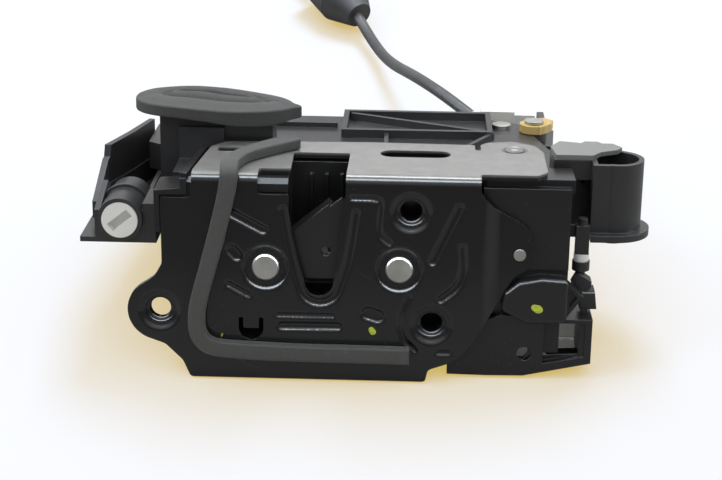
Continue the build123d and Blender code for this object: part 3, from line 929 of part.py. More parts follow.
# ---- switches and the circuit board that carries them
with BuildPart() as circuit_board:
    box(-53.0, -16.0, 27.0, 58.0, BOARD_LOW, BOARD_LOW + BOARD_T)
    post(*SCREWS[-1], SCREW_BOSS_R + SIDE_GAP, BOARD_LOW, BOARD_LOW + BOARD_T, mode=Mode.SUBTRACT)
finish("circuit_board", circuit_board.part)

with BuildPart() as micro_switches:
    for x, y in SWITCHES:
        box(x - 4.0, x + 4.0, y - 2.6, y + 2.6, SPLIT - 3.0, SPLIT + 3.0)
        box(x - BUTTON_W - RUNNING_GAP, x + BUTTON_W + RUNNING_GAP, y - 2.6, y, SPLIT - 1.0 - RUNNING_GAP,
            SPLIT + 1.0 + RUNNING_GAP, mode=Mode.SUBTRACT)
finish("micro_switches", micro_switches.part)


def switch_button(x, y):
    """One switch's button, standing out of its pocket by a little more than its travel."""
    with BuildPart() as button:
        box(x - BUTTON_W, x + BUTTON_W, y - 2.6 - BUTTON_OUT, y - BUTTON_OUT, SPLIT - 1.0, SPLIT + 1.0)
    return button.part


finish("lock_button", switch_button(*SWITCHES[0]))
finish("door_button", switch_button(*SWITCHES[1]))

# ---- inner release lever, its pin, the cable clip and the wire's nipple
with BuildPart() as inner_lever:
    tray([(78.0, 80.4), (82.6, 86.0), (83.6, 91.0), (80.4, 94.6), (76.0, 93.4), (70.6, 87.4)], INNER_LOW, INNER_HIGH)
    post(*INNER_AT, 5.4, INNER_LOW, INNER_HIGH)
    post(*INNER_AT, 2.0 + RUNNING_GAP, INNER_LOW, INNER_HIGH, mode=Mode.SUBTRACT)
finish("inner_lever", inner_lever.part)

with BuildPart() as inner_pin:
    post(*INNER_AT, 2.0, COVER_TOP - 3.0, INNER_HIGH + SIDE_GAP)
    post(*INNER_AT, 3.6, INNER_HIGH + SIDE_GAP, INNER_HIGH + SIDE_GAP + 1.0)
finish("inner_pin", inner_pin.part)

with BuildPart() as cable_clip:
    box(CLIP_LEFT + 3.0, CLIP_LEFT + 16.0, CLIP_Y - 3.6, CLIP_Y + 3.6, SHELF_LOW + WALL, CLIP_Z + 3.4)
    box(CLIP_LEFT + 16.0, CLIP_RIGHT, CLIP_Y - 2.2, CLIP_Y + 2.2, SHELF_LOW + WALL, CLIP_Z + 1.8)
    axle(CLIP_Y, CLIP_Z, CABLE_CORE_R + RUNNING_GAP, CLIP_LEFT + 4.0, CLIP_RIGHT, mode=Mode.SUBTRACT)
finish("cable_clip", cable_clip.part)

# ================================================================ standing the latch on its table
LEAN = degrees(atan2(FOOT_LOW, MODULE_FAR - STEEL_T))
leaned = Rotation(-LEAN, 0, 0)
standing = Compound(children=[leaned * piece for piece in pieces.values()]).bounding_box()
STAND = Location((-(standing.min.X + standing.max.X) / 2, -(standing.min.Y + standing.max.Y) / 2,
                  -standing.min.Z)) * leaned
print("lean", LEAN, "moved by", tuple(STAND.position))
for name in pieces:
    pieces[name] = STAND * pieces[name]
    pieces[name].label = name

# ================================================================ the cable, drawn where it lies on the table
exit_point = (STAND * Location((CLIP_LEFT, CLIP_Y, CLIP_Z))).position
CABLE_POINTS = [(exit_point.X, exit_point.Y, exit_point.Z), (29.0, 73.6, 27.0), (15.5, 94.6, 24.0),
                (4.0, 124.6, 12.0), (-3.5, 149.6, 6.4), (-13.0, 171.6, 10.7), (-27.0, 192.6, 14.9),
                (-43.0, 210.6, 8.6), (-66.0, 223.6, 3.0), (-92.0, 230.6, 2.6), (-118.0, 230.6, 2.6),
                (-143.0, 224.0, 2.6)]


def corner_radii(points):
    """For each inner point, the largest tangent arc its two runs leave room for."""
    radii = []
    for before, point, after in zip(points, points[1:], points[2:]):
        into, out = Vector(*point) - Vector(*before), Vector(*after) - Vector(*point)
        half_turn = radians(into.get_angle(out)) / 2
        radii.append(0.45 * min(into.length, out.length) / tan(half_turn))
    return radii


CABLE_RADII = corner_radii(CABLE_POINTS)
print("cable bend radii", [round(r) for r in CABLE_RADII])
with BuildPart() as cable:
    with BuildLine() as cable_path:
        FilletPolyline(*CABLE_POINTS, radius=CABLE_RADII)
    with BuildSketch(Plane(origin=cable_path.line @ 0, z_dir=cable_path.line % 0)):
        Circle(CABLE_R)
    sweep()
CABLE_LENGTH = sum(edge.length for edge in cable_path.edges())
print("cable length", round(CABLE_LENGTH, 1), "volume over section times length",
      round(cable.part.volume / (CABLE_LENGTH * pi * CABLE_R ** 2), 5))
finish("cable", cable.part)


# the sleeve of the clip, in line with the cable's first run
with BuildPart() as clip_sleeve:
    add(pieces["cable_clip"])
    with BuildSketch(Plane(origin=cable_path.line @ 0, z_dir=cable_path.line % 0)):
        Circle(CABLE_R + 0.9)
    extrude(amount=-SLEEVE_LONG)
finish("cable_clip", clip_sleeve.part)


def along(start, stop, share):
    """The plane across the cable at a share of the way between two of its points."""
    a, b = Vector(*start), Vector(*stop)
    return Plane(origin=a + (b - a) * share, z_dir=b - a)


# ---- rubber grommet that seals the cable where it passes through the door's inner panel
with BuildPart() as grommet:
    with BuildSketch(along(CABLE_POINTS[5], CABLE_POINTS[6], 0.5)) as middle:
        Circle(GROMMET_R)
    extrude(middle.sketch, amount=GROMMET_LONG / 2, both=True)
    chamfer(grommet.faces().sort_by(Axis.Y)[0].edges(), length=GROMMET_LONG * 0.4, length2=GROMMET_R * 0.5)
    add(cable.part, mode=Mode.SUBTRACT)
finish("grommet", grommet.part)

# ---- end of the cable: its sleeve and the barrel of the inner wire
with BuildPart() as cable_end:
    with BuildSketch(Plane(origin=cable_path.line @ 1, z_dir=cable_path.line % 1)) as sleeve:
        Circle(CABLE_R + 0.9)
    extrude(sleeve.sketch, amount=12.0)
    with BuildSketch(Plane(origin=cable_path.line @ 1 + (cable_path.line % 1) * 12.0,
                           z_dir=cable_path.line % 1)) as wire:
        Circle(CABLE_CORE_R)
    extrude(wire.sketch, amount=16.0)
    with BuildSketch(Plane(origin=cable_path.line @ 1 + (cable_path.line % 1) * 28.0,
                           z_dir=cable_path.line % 1)) as barrel:
        Circle(2.5)
    extrude(barrel.sketch, amount=5.0)
finish("cable_end", cable_end.part)

for name, piece in pieces.items():
    export_step(piece, f"parts/{name}.step")
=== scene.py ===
"""Finishes, soft pieces, stage and camera for a vehicle door latch with its lock actuator.

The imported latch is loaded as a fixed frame. Each operator below finishes one piece or one group of like
pieces. All places are in metres in the frame's own axes; places written in millimetres are in latch axes,
X along the latch from the striker slot, Y back from the face plate, Z up the face plate.
"""

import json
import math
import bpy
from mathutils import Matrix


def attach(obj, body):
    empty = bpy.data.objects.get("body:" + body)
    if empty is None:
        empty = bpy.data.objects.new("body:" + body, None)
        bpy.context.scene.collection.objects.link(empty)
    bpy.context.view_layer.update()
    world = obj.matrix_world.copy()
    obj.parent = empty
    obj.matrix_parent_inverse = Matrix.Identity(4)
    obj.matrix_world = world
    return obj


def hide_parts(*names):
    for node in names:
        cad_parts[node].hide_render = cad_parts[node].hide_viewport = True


bl_info = {
    "name": "Door Latch Finishes",
    "version": (1, 0, 0),
    "blender": (4, 5, 0),
    "location": "View3D > Sidebar > Latch",
    "description": "Dresses a packed door latch with finishes, foam, rubber, cable and a studio stage",
    "category": "Object",
}

import bpy
import numpy as np
from bpy.props import FloatProperty, FloatVectorProperty, PointerProperty
from mathutils import Vector
from mathutils.geometry import delaunay_2d_cdt

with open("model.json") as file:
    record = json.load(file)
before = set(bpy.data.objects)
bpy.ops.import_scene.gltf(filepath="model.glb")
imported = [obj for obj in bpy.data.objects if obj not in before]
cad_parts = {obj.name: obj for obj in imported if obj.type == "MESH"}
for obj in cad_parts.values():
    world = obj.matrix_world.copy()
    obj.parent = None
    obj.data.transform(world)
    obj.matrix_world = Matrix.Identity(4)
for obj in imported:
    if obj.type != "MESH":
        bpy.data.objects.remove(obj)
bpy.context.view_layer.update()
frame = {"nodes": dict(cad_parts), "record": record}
MM = 0.001


# ---------------------------------------------------------------- latch axes
def hinge(name):
    """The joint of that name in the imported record."""
    return next(j for j in frame["record"]["behaviour"]["joints"] if j["name"] == name)


# the two large rivets, as x and z on the face, and how far behind the face the claw's joint is placed
CLAW_AT, PAWL_AT = (-18.0, 40.4), (27.0, 40.4)
CLAW_DEPTH = 8.0


def stand_of_latch():
    """Rotation and shift from latch axes to the frame: the claw's axis is latch Y, its joint a known point."""
    claw = hinge("claw_turn")
    _, c, s = claw["axis"]
    turn = np.array([[1.0, 0.0, 0.0], [0.0, c, -s], [0.0, s, c]])
    return turn, np.array(claw["pos_m"]) - turn @ (np.array([CLAW_AT[0], CLAW_DEPTH, CLAW_AT[1]]) * MM)


LATCH_TURN, LATCH_SHIFT = stand_of_latch()
LEAN = math.atan2(LATCH_TURN[2, 1], LATCH_TURN[1, 1])


def stood(points):
    """Latch-axes millimetres, an array ending in three columns, as frame metres."""
    return np.asarray(points, float) * MM @ LATCH_TURN.T + LATCH_SHIFT


# ---------------------------------------------------------------- surfaces
def round_angles(count):
    """Angles of one full turn, evenly divided, without the last."""
    return np.linspace(0, 2 * math.pi, count, endpoint=False)


def unit(vectors):
    """Vectors over their own lengths."""
    return vectors / np.linalg.norm(vectors, axis=-1, keepdims=True)


def surface(name, grid, ends="flat", smooth=True):
    """Closed mesh of a surface given on a grid of rows and columns. The last column joins the first, and ends
    closes the first and last rows with a fan about their middles ("flat") or joins them to each other ("ring").
    A ring is turned to face outwards by the sign of its volume, the sum over its triangles of a . (b x c)."""
    rows, cols = grid.shape[:2]
    points = grid.reshape(-1, 3)
    index = np.arange(rows * cols).reshape(rows, cols)
    left, right = index, np.roll(index, -1, axis=1)
    if ends == "ring":
        left, right = np.vstack([left, left[:1]]), np.vstack([right, right[:1]])
    quads = np.stack([left[:-1], right[:-1], right[1:], left[1:]], axis=-1).reshape(-1, 4)
    corners = points[quads]
    halves = corners[:, [0, 1, 2, 0, 2, 3]].reshape(-1, 3, 3)
    if ends == "ring" and np.einsum("ij,ij->i", halves[:, 0], np.cross(halves[:, 1], halves[:, 2])).sum() < 0:
        quads = quads[:, ::-1]
    faces = quads.tolist()
    if ends == "flat":
        points = np.vstack([points, grid[0].mean(axis=0), grid[-1].mean(axis=0)])
        first, last = rows * cols, rows * cols + 1
        ring, turn = index[0], np.roll(index[0], -1)
        faces += np.stack([turn, ring, np.full(cols, first)], axis=-1).tolist()
        ring, turn = index[-1], np.roll(index[-1], -1)
        faces += np.stack([ring, turn, np.full(cols, last)], axis=-1).tolist()
    mesh = bpy.data.meshes.new(name)
    mesh.from_pydata(points.tolist(), [], faces)
    mesh.polygons.foreach_set("use_smooth", np.full(len(mesh.polygons), smooth))
    mesh.update()
    return mesh


def piece(name, mesh, finish, body="latch", replaces=()):
    """An object for the mesh, at the origin, with its finish, riding on a body of the frame."""
    made = bpy.data.objects.new(name, mesh)
    bpy.context.scene.collection.objects.link(made)
    mesh.materials.append(finish)
    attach(made, body)
    if replaces:
        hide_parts(*replaces)
    return made


def smooth_path(points, steps):
    """A Catmull-Rom curve through the points: cubic Hermite pieces whose tangents are half the chord between the
    neighbours, sampled at steps places a piece. Each end is carried on by its own first or last chord."""
    points = np.asarray(points, float)
    ends = np.vstack([2 * points[0] - points[1], points, 2 * points[-1] - points[-2]])
    tangent = (ends[2:] - ends[:-2]) / 2
    t = np.linspace(0, 1, steps, endpoint=False)[:, None, None]
    p, q, m, n = points[:-1], points[1:], tangent[:-1], tangent[1:]
    curve = ((2 * t**3 - 3 * t**2 + 1) * p + (t**3 - 2 * t**2 + t) * m
             + (3 * t**2 - 2 * t**3) * q + (t**3 - t**2) * n)
    return np.vstack([curve.transpose(1, 0, 2).reshape(-1, points.shape[1]), points[-1:]])


def even(path, count):
    """The same path with its points an equal distance apart, by linear interpolation of arc length."""
    gone = np.concatenate([[0], np.cumsum(np.linalg.norm(np.diff(path, axis=0), axis=1))])
    at = np.linspace(0, gone[-1], count)
    return np.stack([np.interp(at, gone, path[:, k]) for k in range(path.shape[1])], axis=1)


def soft_box(width, height, power, count):
    """Closed rounded-box outline: |x/w|^p + |y/h|^p = 1, by x = w sgn(cos t) |cos t|^(2/p), and y with sin."""
    t = round_angles(count)
    c, s = np.cos(t), np.sin(t)
    return np.stack([width / 2 * np.sign(c) * np.abs(c) ** (2 / power),
                     height / 2 * np.sign(s) * np.abs(s) ** (2 / power)], axis=1)


def ripple(t, seed, waves):
    """A smooth wander between about -1 and 1: the sum over k of sin(2 pi rate_k t + phase_k) / k, with seeded rates
    that grow with k and seeded phases."""
    rng, turn, swing = np.random.default_rng(seed), 6.283, 1.6
    rates, phases = rng.uniform(0.5, 1.0, waves) * np.arange(1, waves + 1), rng.uniform(0, turn, waves)
    return sum(np.sin(t * r * turn + p) / (k + 1) for k, (r, p) in enumerate(zip(rates, phases))) / swing


# ---------------------------------------------------------------- pressed sheet
# The plate is drawn flat, in millimetres: x, and a height that runs up the face, round the bend and on back
# along the flange.
FACE_TOP, SHEET, BEND = 73.0, 2.0, 3.2
BEND_FROM, BEND_RUN = FACE_TOP - BEND, BEND * math.pi / 2
# the tab at the right: where its step back begins, the lead before that, the run of the step and its depth
TAB_FROM, TAB_LEAD, TAB_RUN, TAB_STEP = 55.0, 0.6, 5.9, 3.0


def behind(y):
    """Flat height of a flange point that lies y behind the face."""
    return BEND_FROM + BEND_RUN + y - BEND


def on_flange(*points):
    """Flange points given as x and y, as points of the flat plate."""
    return [(x, behind(y)) for x, y in points]


def eased_step(low, high, x):
    """0 below low, 1 above high, 3t^2 - 2t^3 between."""
    t = np.clip((x - low) / (high - low), 0, 1)
    return t * t * (3 - 2 * t)


def arc_points(x, z, radius, start, end, count):
    """Points on an arc, x = x0 + r cos a and z = z0 + r sin a, a in degrees."""
    a = np.radians(np.linspace(start, end, count))
    return list(zip(x + radius * np.cos(a), z + radius * np.sin(a)))


PIVOTS = (CLAW_AT, PAWL_AT)
EAR, EAR_R = (-54.1, 24.2), 11.0
# the threaded fixings: x, z and the depth at which the collar ends
FIXINGS = ((30.6, 60.6, 8.6), (38.2, 21.0, 8.6), (*EAR, 5.0))
TAB_RIVET = (67.3, 45.8)
FLANGE_RIVET_X, FLANGE_RIVET_Y = 66.1, 35.9
FLANGE_RIVET = (FLANGE_RIVET_X, behind(FLANGE_RIVET_Y))
PIVOT_HOLE, COLLAR_HOLE, RIVET_HOLE = 4.0, 5.0, 2.05
SLOT_RUNS_AT, SLOT_END_R = behind(28.2), 4.2
STRIKER_FOOT_Z, STRIKER_FOOT_R = 35.4, 4.8
TONGUE_AT, TONGUE_R = (-23.0, 18.4), 4.2

# Outlines of the flat plate: its edge from the lower left by way of the lower right, the tab, the flange and
# the left ear, then the openings in it.
SHEET_EDGE = [
    (-44.0, 0.0), (36.5, 0.0), (37.4, 4.4), (44.5, 7.0), (48.7, 9.9), (52.9, 15.7), (55.0, 19.2), (61.2, 29.6),
    (65.5, 37.6), (69.7, 40.4), (72.2, 44.6), (72.5, 49.0), (70.6, 54.2), (66.6, 57.6), (62.4, 59.8), (59.0, 61.8),
    (55.4, 65.4), (53.6, 68.2)]
SHEET_EDGE += on_flange(
    (53.5, 5.2), (72.5, 5.2), (76.0, 9.5), (76.0, 33.5), (73.6, 41.5), (66.0, 46.4), (57.0, 44.6), (54.4, 41.5),
    (54.4, 34.5), (52.4, 34.5), (52.4, 41.0), (16.0, 42.0), (-10.0, 41.0), (-34.5, 40.0), (-39.6, 33.0),
    (-42.5, 5.2))
SHEET_EDGE += [(-42.5, 67.8), (-43.2, 64.5), (-53.0, 64.5), (-53.0, 41.0), (-55.5, 36.5)]
SHEET_EDGE += arc_points(*EAR, EAR_R, 115, 245, 12) + [(-52.5, 12.0), (-46.5, 6.0)]
STRIKER_SLOT = on_flange((-10.2, 27.5), (-9.9, 7.5), (-20.5, 7.5)) + [(-20.5, 66.2), (-10.0, 66.2), (-10.2, 61.5)]
STRIKER_SLOT += [(-9.2, 53.0), (-7.0, 43.0)] + arc_points(0.0, STRIKER_FOOT_Z, STRIKER_FOOT_R, 180, 360, 12)
STRIKER_SLOT += [(6.3, 46.0), (7.1, 56.0), (8.8, 67.0)] + on_flange((9.2, 27.5))
TONGUE_WINDOW = [(-27.2, 22.3)] + arc_points(*TONGUE_AT, TONGUE_R, 180, 360, 14)
TONGUE_WINDOW += [(-18.8, 22.3), (-20.3, 22.3), (-20.3, 18.4), (-25.7, 18.4), (-25.7, 22.3)]
FLANGE_SLOT = arc_points(23.7, SLOT_RUNS_AT, SLOT_END_R, 90, 270, 12)
FLANGE_SLOT += arc_points(39.6, SLOT_RUNS_AT, SLOT_END_R, -90, 90, 12)
FLANGE_WINDOW = on_flange((-36.8, 27.4), (-26.8, 27.4), (-26.8, 32.0), (-36.8, 32.0))
ROUND_HOLES = [(*at, PIVOT_HOLE) for at in PIVOTS] + [(x, z, COLLAR_HOLE) for x, z, _ in FIXINGS]
ROUND_HOLES += [(*at, RIVET_HOLE) for at in (TAB_RIVET, FLANGE_RIVET)]

# Pressed grooves: the middle line of each and the width of its floor. A narrow one has less slope and depth.
SLOT_RIM = [(-12.2, 60.8), (-10.6, 52.0), (-8.4, 42.0)] + arc_points(0.3, 34.6, 6.4, 190, 350, 9)
SLOT_RIM += [(9.4, 42.0), (10.9, 50.0), (12.3, 60.0)]
GROOVE_DEPTH, SLOPE_LEAST, SLOPE_BY_WIDTH, SLOPE_MOST = 0.8, 0.75, 0.4, 1.2
GROOVES = [
    (SLOT_RIM, 1.2),
    ([(11.0, 65.4), (18.6, 65.2), (20.6, 63.4), (20.2, 56.0), (21.0, 52.2), (23.6, 49.8)], 0.6),
    ([(-29.4, 59.4), (-18.8, 53.7)], 1.6),
    ([(46.6, 62.6), (38.1, 43.7)], 1.4),
    ([(48.0, 48.6), (48.3, 40.4), (46.1, 34.6), (41.2, 30.2)], 1.2),
    ([(30.3, 30.6), (28.1, 26.2), (27.5, 20.8), (29.3, 15.3), (32.8, 11.7)], 0.6),
    ([(40.7, 10.8), (44.4, 10.9)], 0.6),
    ([(-13.9, 23.4), (4.8, 23.5)], 0.5),
    ([(-12.6, 19.4), (6.5, 19.6)], 1.4),
    ([(16.8, 24.6), (20.0, 23.6)], 3.2),
    ([(-30.5, 34.2), (-23.8, 30.4)], 0.8),
    ([(-29.2, 46.2), (-27.6, 44.4)], 2.4)]
# Round recesses, and the bulges that the pivots' dishes leave on the back: inner radius, rim radius, depth
PIVOT_DISH, FIXING_DIMPLE, RIVET_DISH = (7.0, 8.2, 0.9), (5.3, 7.5, 1.0), (3.4, 4.8, 0.9)
PIVOT_BULGE = (7.4, 8.4, 0.9)


def rounded(points, reach=1.1, steps=5, spacing=0.5, fewest=24):
    """A closed outline with its corners eased: each is cut back along both sides by reach, or by 0.45 of the
    shorter side, and crossed by the quadratic curve of those two points and the corner. Evenly divided, at
    about the spacing and into no fewer than the fewest points."""
    p = np.asarray(points, float)
    before, after = np.roll(p, 1, axis=0) - p, np.roll(p, -1, axis=0) - p
    gone = np.linalg.norm([before, after], axis=2)[..., None]
    cut = np.minimum(reach, 0.45 * gone.min(axis=0))
    start, end = p + before / gone[0] * cut, p + after / gone[1] * cut
    t = np.linspace(0, 1, steps)[None, :, None]
    line = ((1 - t) ** 2 * start[:, None] + 2 * t * (1 - t) * p[:, None] + t ** 2 * end[:, None]).reshape(-1, 2)
    line = np.vstack([line, line[:1]])
    return even(line, max(fewest, round(np.linalg.norm(np.diff(line, axis=0), axis=1).sum() / spacing)))[:-1]


# points taken at a time where each is compared with every point of an outline
AT_ONCE = 4000


def within(points, outline):
    """True where a ray to the right of a point crosses a closed outline an odd number of times."""
    (x0, y0), (x1, y1) = outline.T, np.roll(outline, -1, axis=0).T
    rise = np.where(y1 == y0, 1.0, y1 - y0)
    odd = []
    for some in np.array_split(points, max(1, len(points) // AT_ONCE)):
        x, y = some[:, :1], some[:, 1:]
        crosses = ((y0 > y) != (y1 > y)) & (x < x0 + (y - y0) * (x1 - x0) / rise)
        odd.append(crosses.sum(axis=1) % 2 == 1)
    return np.concatenate(odd)


def reach_to(points, line):
    """Least distance of each point from the runs of a line. The nearest point of a run lies at the share
    (point - start) . run / run . run along it, kept between 0 and 1."""
    line = np.asarray(line, float)
    run = np.diff(line, axis=0)
    gone = points[:, None] - line[:-1]
    share = np.clip((gone * run).sum(axis=-1) / (run * run).sum(axis=-1), 0, 1)
    return np.linalg.norm(gone - share[..., None] * run, axis=-1).min(axis=1)


def recess(flat, x, z, inner, rim, depth):
    """Depth of a round recess: flat inside its inner radius, with an eased slope out to its rim."""
    return depth * (1 - eased_step(inner, rim, np.hypot(flat[:, 0] - x, flat[:, 1] - z)))


def sunk(flat):
    """Depth of the pressed relief: the deepest of the grooves, the pivots' dishes, the fixings' dimples and the
    flange rivet's dish, each a floor with an eased slope up to the skin."""
    deep = np.zeros(len(flat))
    for line, width in GROOVES:
        slope = min(SLOPE_LEAST + SLOPE_BY_WIDTH * width, SLOPE_MOST)
        side = eased_step(width / 2 - 0.1, width / 2 + slope, reach_to(flat, smooth_path(line, 5)))
        deep = np.maximum(deep, GROOVE_DEPTH * slope / SLOPE_MOST * (1 - side))
    dishes = [(x, z, *PIVOT_DISH) for x, z in PIVOTS] + [(x, z, *FIXING_DIMPLE) for x, z, _ in FIXINGS]
    for dish in dishes + [(*FLANGE_RIVET, *RIVET_DISH)]:
        deep = np.maximum(deep, recess(flat, *dish))
    return deep


def folded(flat, depth):
    """Flat points, x and height v, taken to a depth under the outer skin and folded. Below the bend z = v. In it,
    a radius (bend - depth) turns through (v - start) / bend. Past it, y grows with v. The tab is stepped back by
    an eased step along x."""
    x, v = flat.T
    turn = np.clip((v - BEND_FROM) / BEND, 0, math.pi / 2)
    back = TAB_STEP * eased_step(TAB_FROM - TAB_LEAD, TAB_FROM + TAB_RUN, x) * (v < BEND_FROM)
    y = BEND - (BEND - depth) * np.cos(turn) + np.maximum(v - BEND_FROM - BEND_RUN, 0) + back
    return np.stack([x, y, np.minimum(v, BEND_FROM) + (BEND - depth) * np.sin(turn)], axis=1)


def grid_over(low, high, step_x, step_v):
    """Points of a grid over a box, every other row shifted half a step."""
    x, v = np.meshgrid(np.arange(low[0], high[0], step_x), np.arange(low[1], high[1], step_v))
    x[1::2] += step_x / 2
    return np.stack([x.ravel(), v.ravel()], axis=1)


# spacing of the plate's mesh: close on the relief, wide elsewhere and along the bend
CLOSE, WIDE, ALONG_BEND = 0.42, 1.5, 1.4
# relief is where the depths felt at this distance on four sides differ by more than this change
FEEL, RELIEF_CHANGE = 0.7, 0.015
# how near to an outline a grid point may lie
EDGE_CLEAR = 0.22


def sheet_points(loops):
    """Flat points of the sheet: its outlines, then grids close where the relief changes, at the tab's step and
    across the bend, and wide elsewhere, without the grid points that crowd an outline."""
    low, high = loops[0].min(axis=0), loops[0].max(axis=0)
    fine = grid_over(low, high, CLOSE, CLOSE)
    around = [sunk(fine + shift) for shift in np.array([(FEEL, 0), (-FEEL, 0), (0, FEEL), (0, -FEEL)])]
    changes = np.ptp(around, axis=0) > RELIEF_CHANGE
    changes |= (np.abs(fine[:, 0] - TAB_FROM - TAB_RUN / 2) < TAB_RUN / 2 + 1.2) & (fine[:, 1] < BEND_FROM)
    bend = grid_over((low[0], BEND_FROM - 0.3), (high[0], BEND_FROM + BEND_RUN + 0.4), ALONG_BEND, CLOSE)
    grid = np.vstack([fine[changes], bend, grid_over(low, high, WIDE, WIDE)])
    rim = np.vstack(loops)
    near = np.concatenate([np.linalg.norm(some[:, None] - rim, axis=-1).min(axis=1) < EDGE_CLEAR
                           for some in np.array_split(grid, 2 * len(grid) // AT_ONCE)])
    return np.vstack([rim, grid[~near]])


def sheet_faces(flat, loops):
    """Constrained triangulation of the flat points, which begin with the loops' own: the points as it leaves
    them, and its triangles inside the first loop and outside the others, turned to face the front."""
    ties, first = [], 0
    for loop in loops:
        index = np.arange(first, first + len(loop))
        ties += np.stack([index, np.roll(index, -1)], axis=1).tolist()
        first += len(loop)
    made = delaunay_2d_cdt([Vector(p) for p in flat.tolist()], ties, [], 0, 1e-5)
    flat, faces = np.array([tuple(p) for p in made[0]]), np.array(made[2])
    middle = flat[faces].mean(axis=1)
    kept = within(middle, loops[0])
    for hole in loops[1:]:
        kept &= ~within(middle, hole)
    faces = faces[kept]
    a, b, c = (flat[faces[:, k]] for k in range(3))
    turned = np.cross(b - a, c - a) < 0
    faces[turned] = faces[turned][:, ::-1]
    return flat, faces


def mark_sharp(mesh, pairs):
    """Makes the mesh edges between those pairs of vertices sharp."""
    def numbered(ends):
        ends = np.sort(ends, axis=1)
        return ends[:, 0] * len(mesh.vertices) + ends[:, 1]

    ends = np.empty(len(mesh.edges) * 2, np.int64)
    mesh.edges.foreach_get("vertices", ends)
    mesh.edges.foreach_set("use_edge_sharp", np.isin(numbered(ends.reshape(-1, 2)), numbered(pairs)))


def pressed_sheet(name, edge, holes):
    """Closed mesh of the sheet: its flat triangles folded twice, once for the skin at the relief's depth and once
    for the back at the sheet's, which bulges behind the pivots. A side that only one triangle has is a rim, and
    a wall joins each rim of the skin to the back's."""
    loops = [edge] + holes
    flat, faces = sheet_faces(sheet_points(loops), loops)
    bulge = np.zeros(len(flat))
    for x, z in PIVOTS:
        bulge = np.maximum(bulge, recess(flat, x, z, *PIVOT_BULGE))
    points = np.vstack([folded(flat, sunk(flat)), folded(flat, SHEET + bulge)])
    count = len(flat)
    sides = np.vstack([faces[:, [0, 1]], faces[:, [1, 2]], faces[:, [2, 0]]])
    rims = sides[~np.isin(sides[:, 0] * count + sides[:, 1], sides[:, 1] * count + sides[:, 0])]
    walls = np.stack([rims[:, 1], rims[:, 0], rims[:, 0] + count, rims[:, 1] + count], axis=1)
    mesh = bpy.data.meshes.new(name)
    mesh.from_pydata(stood(points).tolist(), [], faces.tolist() + (faces[:, ::-1] + count).tolist() + walls.tolist())
    mesh.polygons.foreach_set("use_smooth", np.ones(len(mesh.polygons), bool))
    mark_sharp(mesh, np.vstack([rims, rims + count]))
    mesh.validate()
    mesh.update()
    return mesh


# the collars' threads in millimetres: crest radius, depth of the groove, pitch, and rows down the wall
CREST, THREAD_DEPTH, PITCH, THREAD_ROWS = 3.42, 0.3, 1.25, 40


def threaded_collar(name, x, z, end, columns=64):
    """A drawn collar as a profile of (radius, depth) turned about its axis. The inner wall's radius carries the
    thread: crest + depth |2 frac(height / pitch - angle / 360) - 1|, which ends below the plain mouth."""
    outer = [(5.06, 1.25), (5.2, 2.02), (5.9, 2.1), (5.9, end - 0.3), (5.6, end), (3.9, end)]
    inner = np.stack([np.full(THREAD_ROWS, CREST), np.linspace(end - 0.1, 2.7, THREAD_ROWS)], axis=1)
    mouth = [(3.7, 2.42), (4.3, 2.2), (4.8, 2.0), (4.98, 1.7), (5.02, 1.25)]
    profile = np.vstack([outer, inner, mouth])
    threaded = np.concatenate([np.zeros(len(outer)), np.ones(len(inner)), np.zeros(len(mouth))])
    angle = round_angles(columns)
    wave = np.abs(2 * ((profile[:, 1:] / PITCH - angle / (2 * math.pi)) % 1) - 1)
    radius = profile[:, :1] + THREAD_DEPTH * wave * threaded[:, None]
    depth = np.broadcast_to(profile[:, 1:], radius.shape)
    return surface(name, stood(np.stack([x + radius * np.cos(angle), depth, z + radius * np.sin(angle)], axis=-1)),
                   ends="ring")


# the dabs of paint in millimetres: how far they rise off the skin and reach under it
DAB_RISE, DAB_UNDER = 0.16, 0.05
# name: x, z, depth of the skin, length, width, lean in degrees, seed of the edge
DABS = {"plate": (18.3, 18.3, 0.0, 3.2, 2.4, -60, 3), "pillow": (73.8, 27.5, 0.6, 4.0, 2.9, -25, 8),
        "edge": (-33.0, 15.6, 0.0, 1.3, 0.8, 70, 5)}


def dab(x, z, depth, long, wide, lean, seed):
    """A dab of paint: an ellipse with a wandering edge, domed by 1 - r^4, closed by a flat back."""
    t = round_angles(36)
    edge = 1 + 0.12 * ripple(np.cos(t) / 4 + 0.3, seed, 5) + 0.08 * ripple(np.sin(t) / 4 + 0.3, seed + 1, 5)
    dome, back = [0.06, 0.3, 0.55, 0.8, 0.93, 1.0], [1.0, 0.5, 0.06]
    radius = np.array(dome + back)
    rise = np.where(np.arange(len(radius)) < len(dome), DAB_RISE * (1 - radius ** 4), -DAB_UNDER)
    along, across = (radius[:, None] * edge * part / 2 for part in (long * np.cos(t), wide * np.sin(t)))
    c, s = math.cos(math.radians(lean)), math.sin(math.radians(lean))
    grid = np.stack([x + along * c - across * s, np.broadcast_to(depth - rise[:, None], along.shape),
                     z + along * s + across * c], axis=-1)
    return surface("dab", stood(grid))


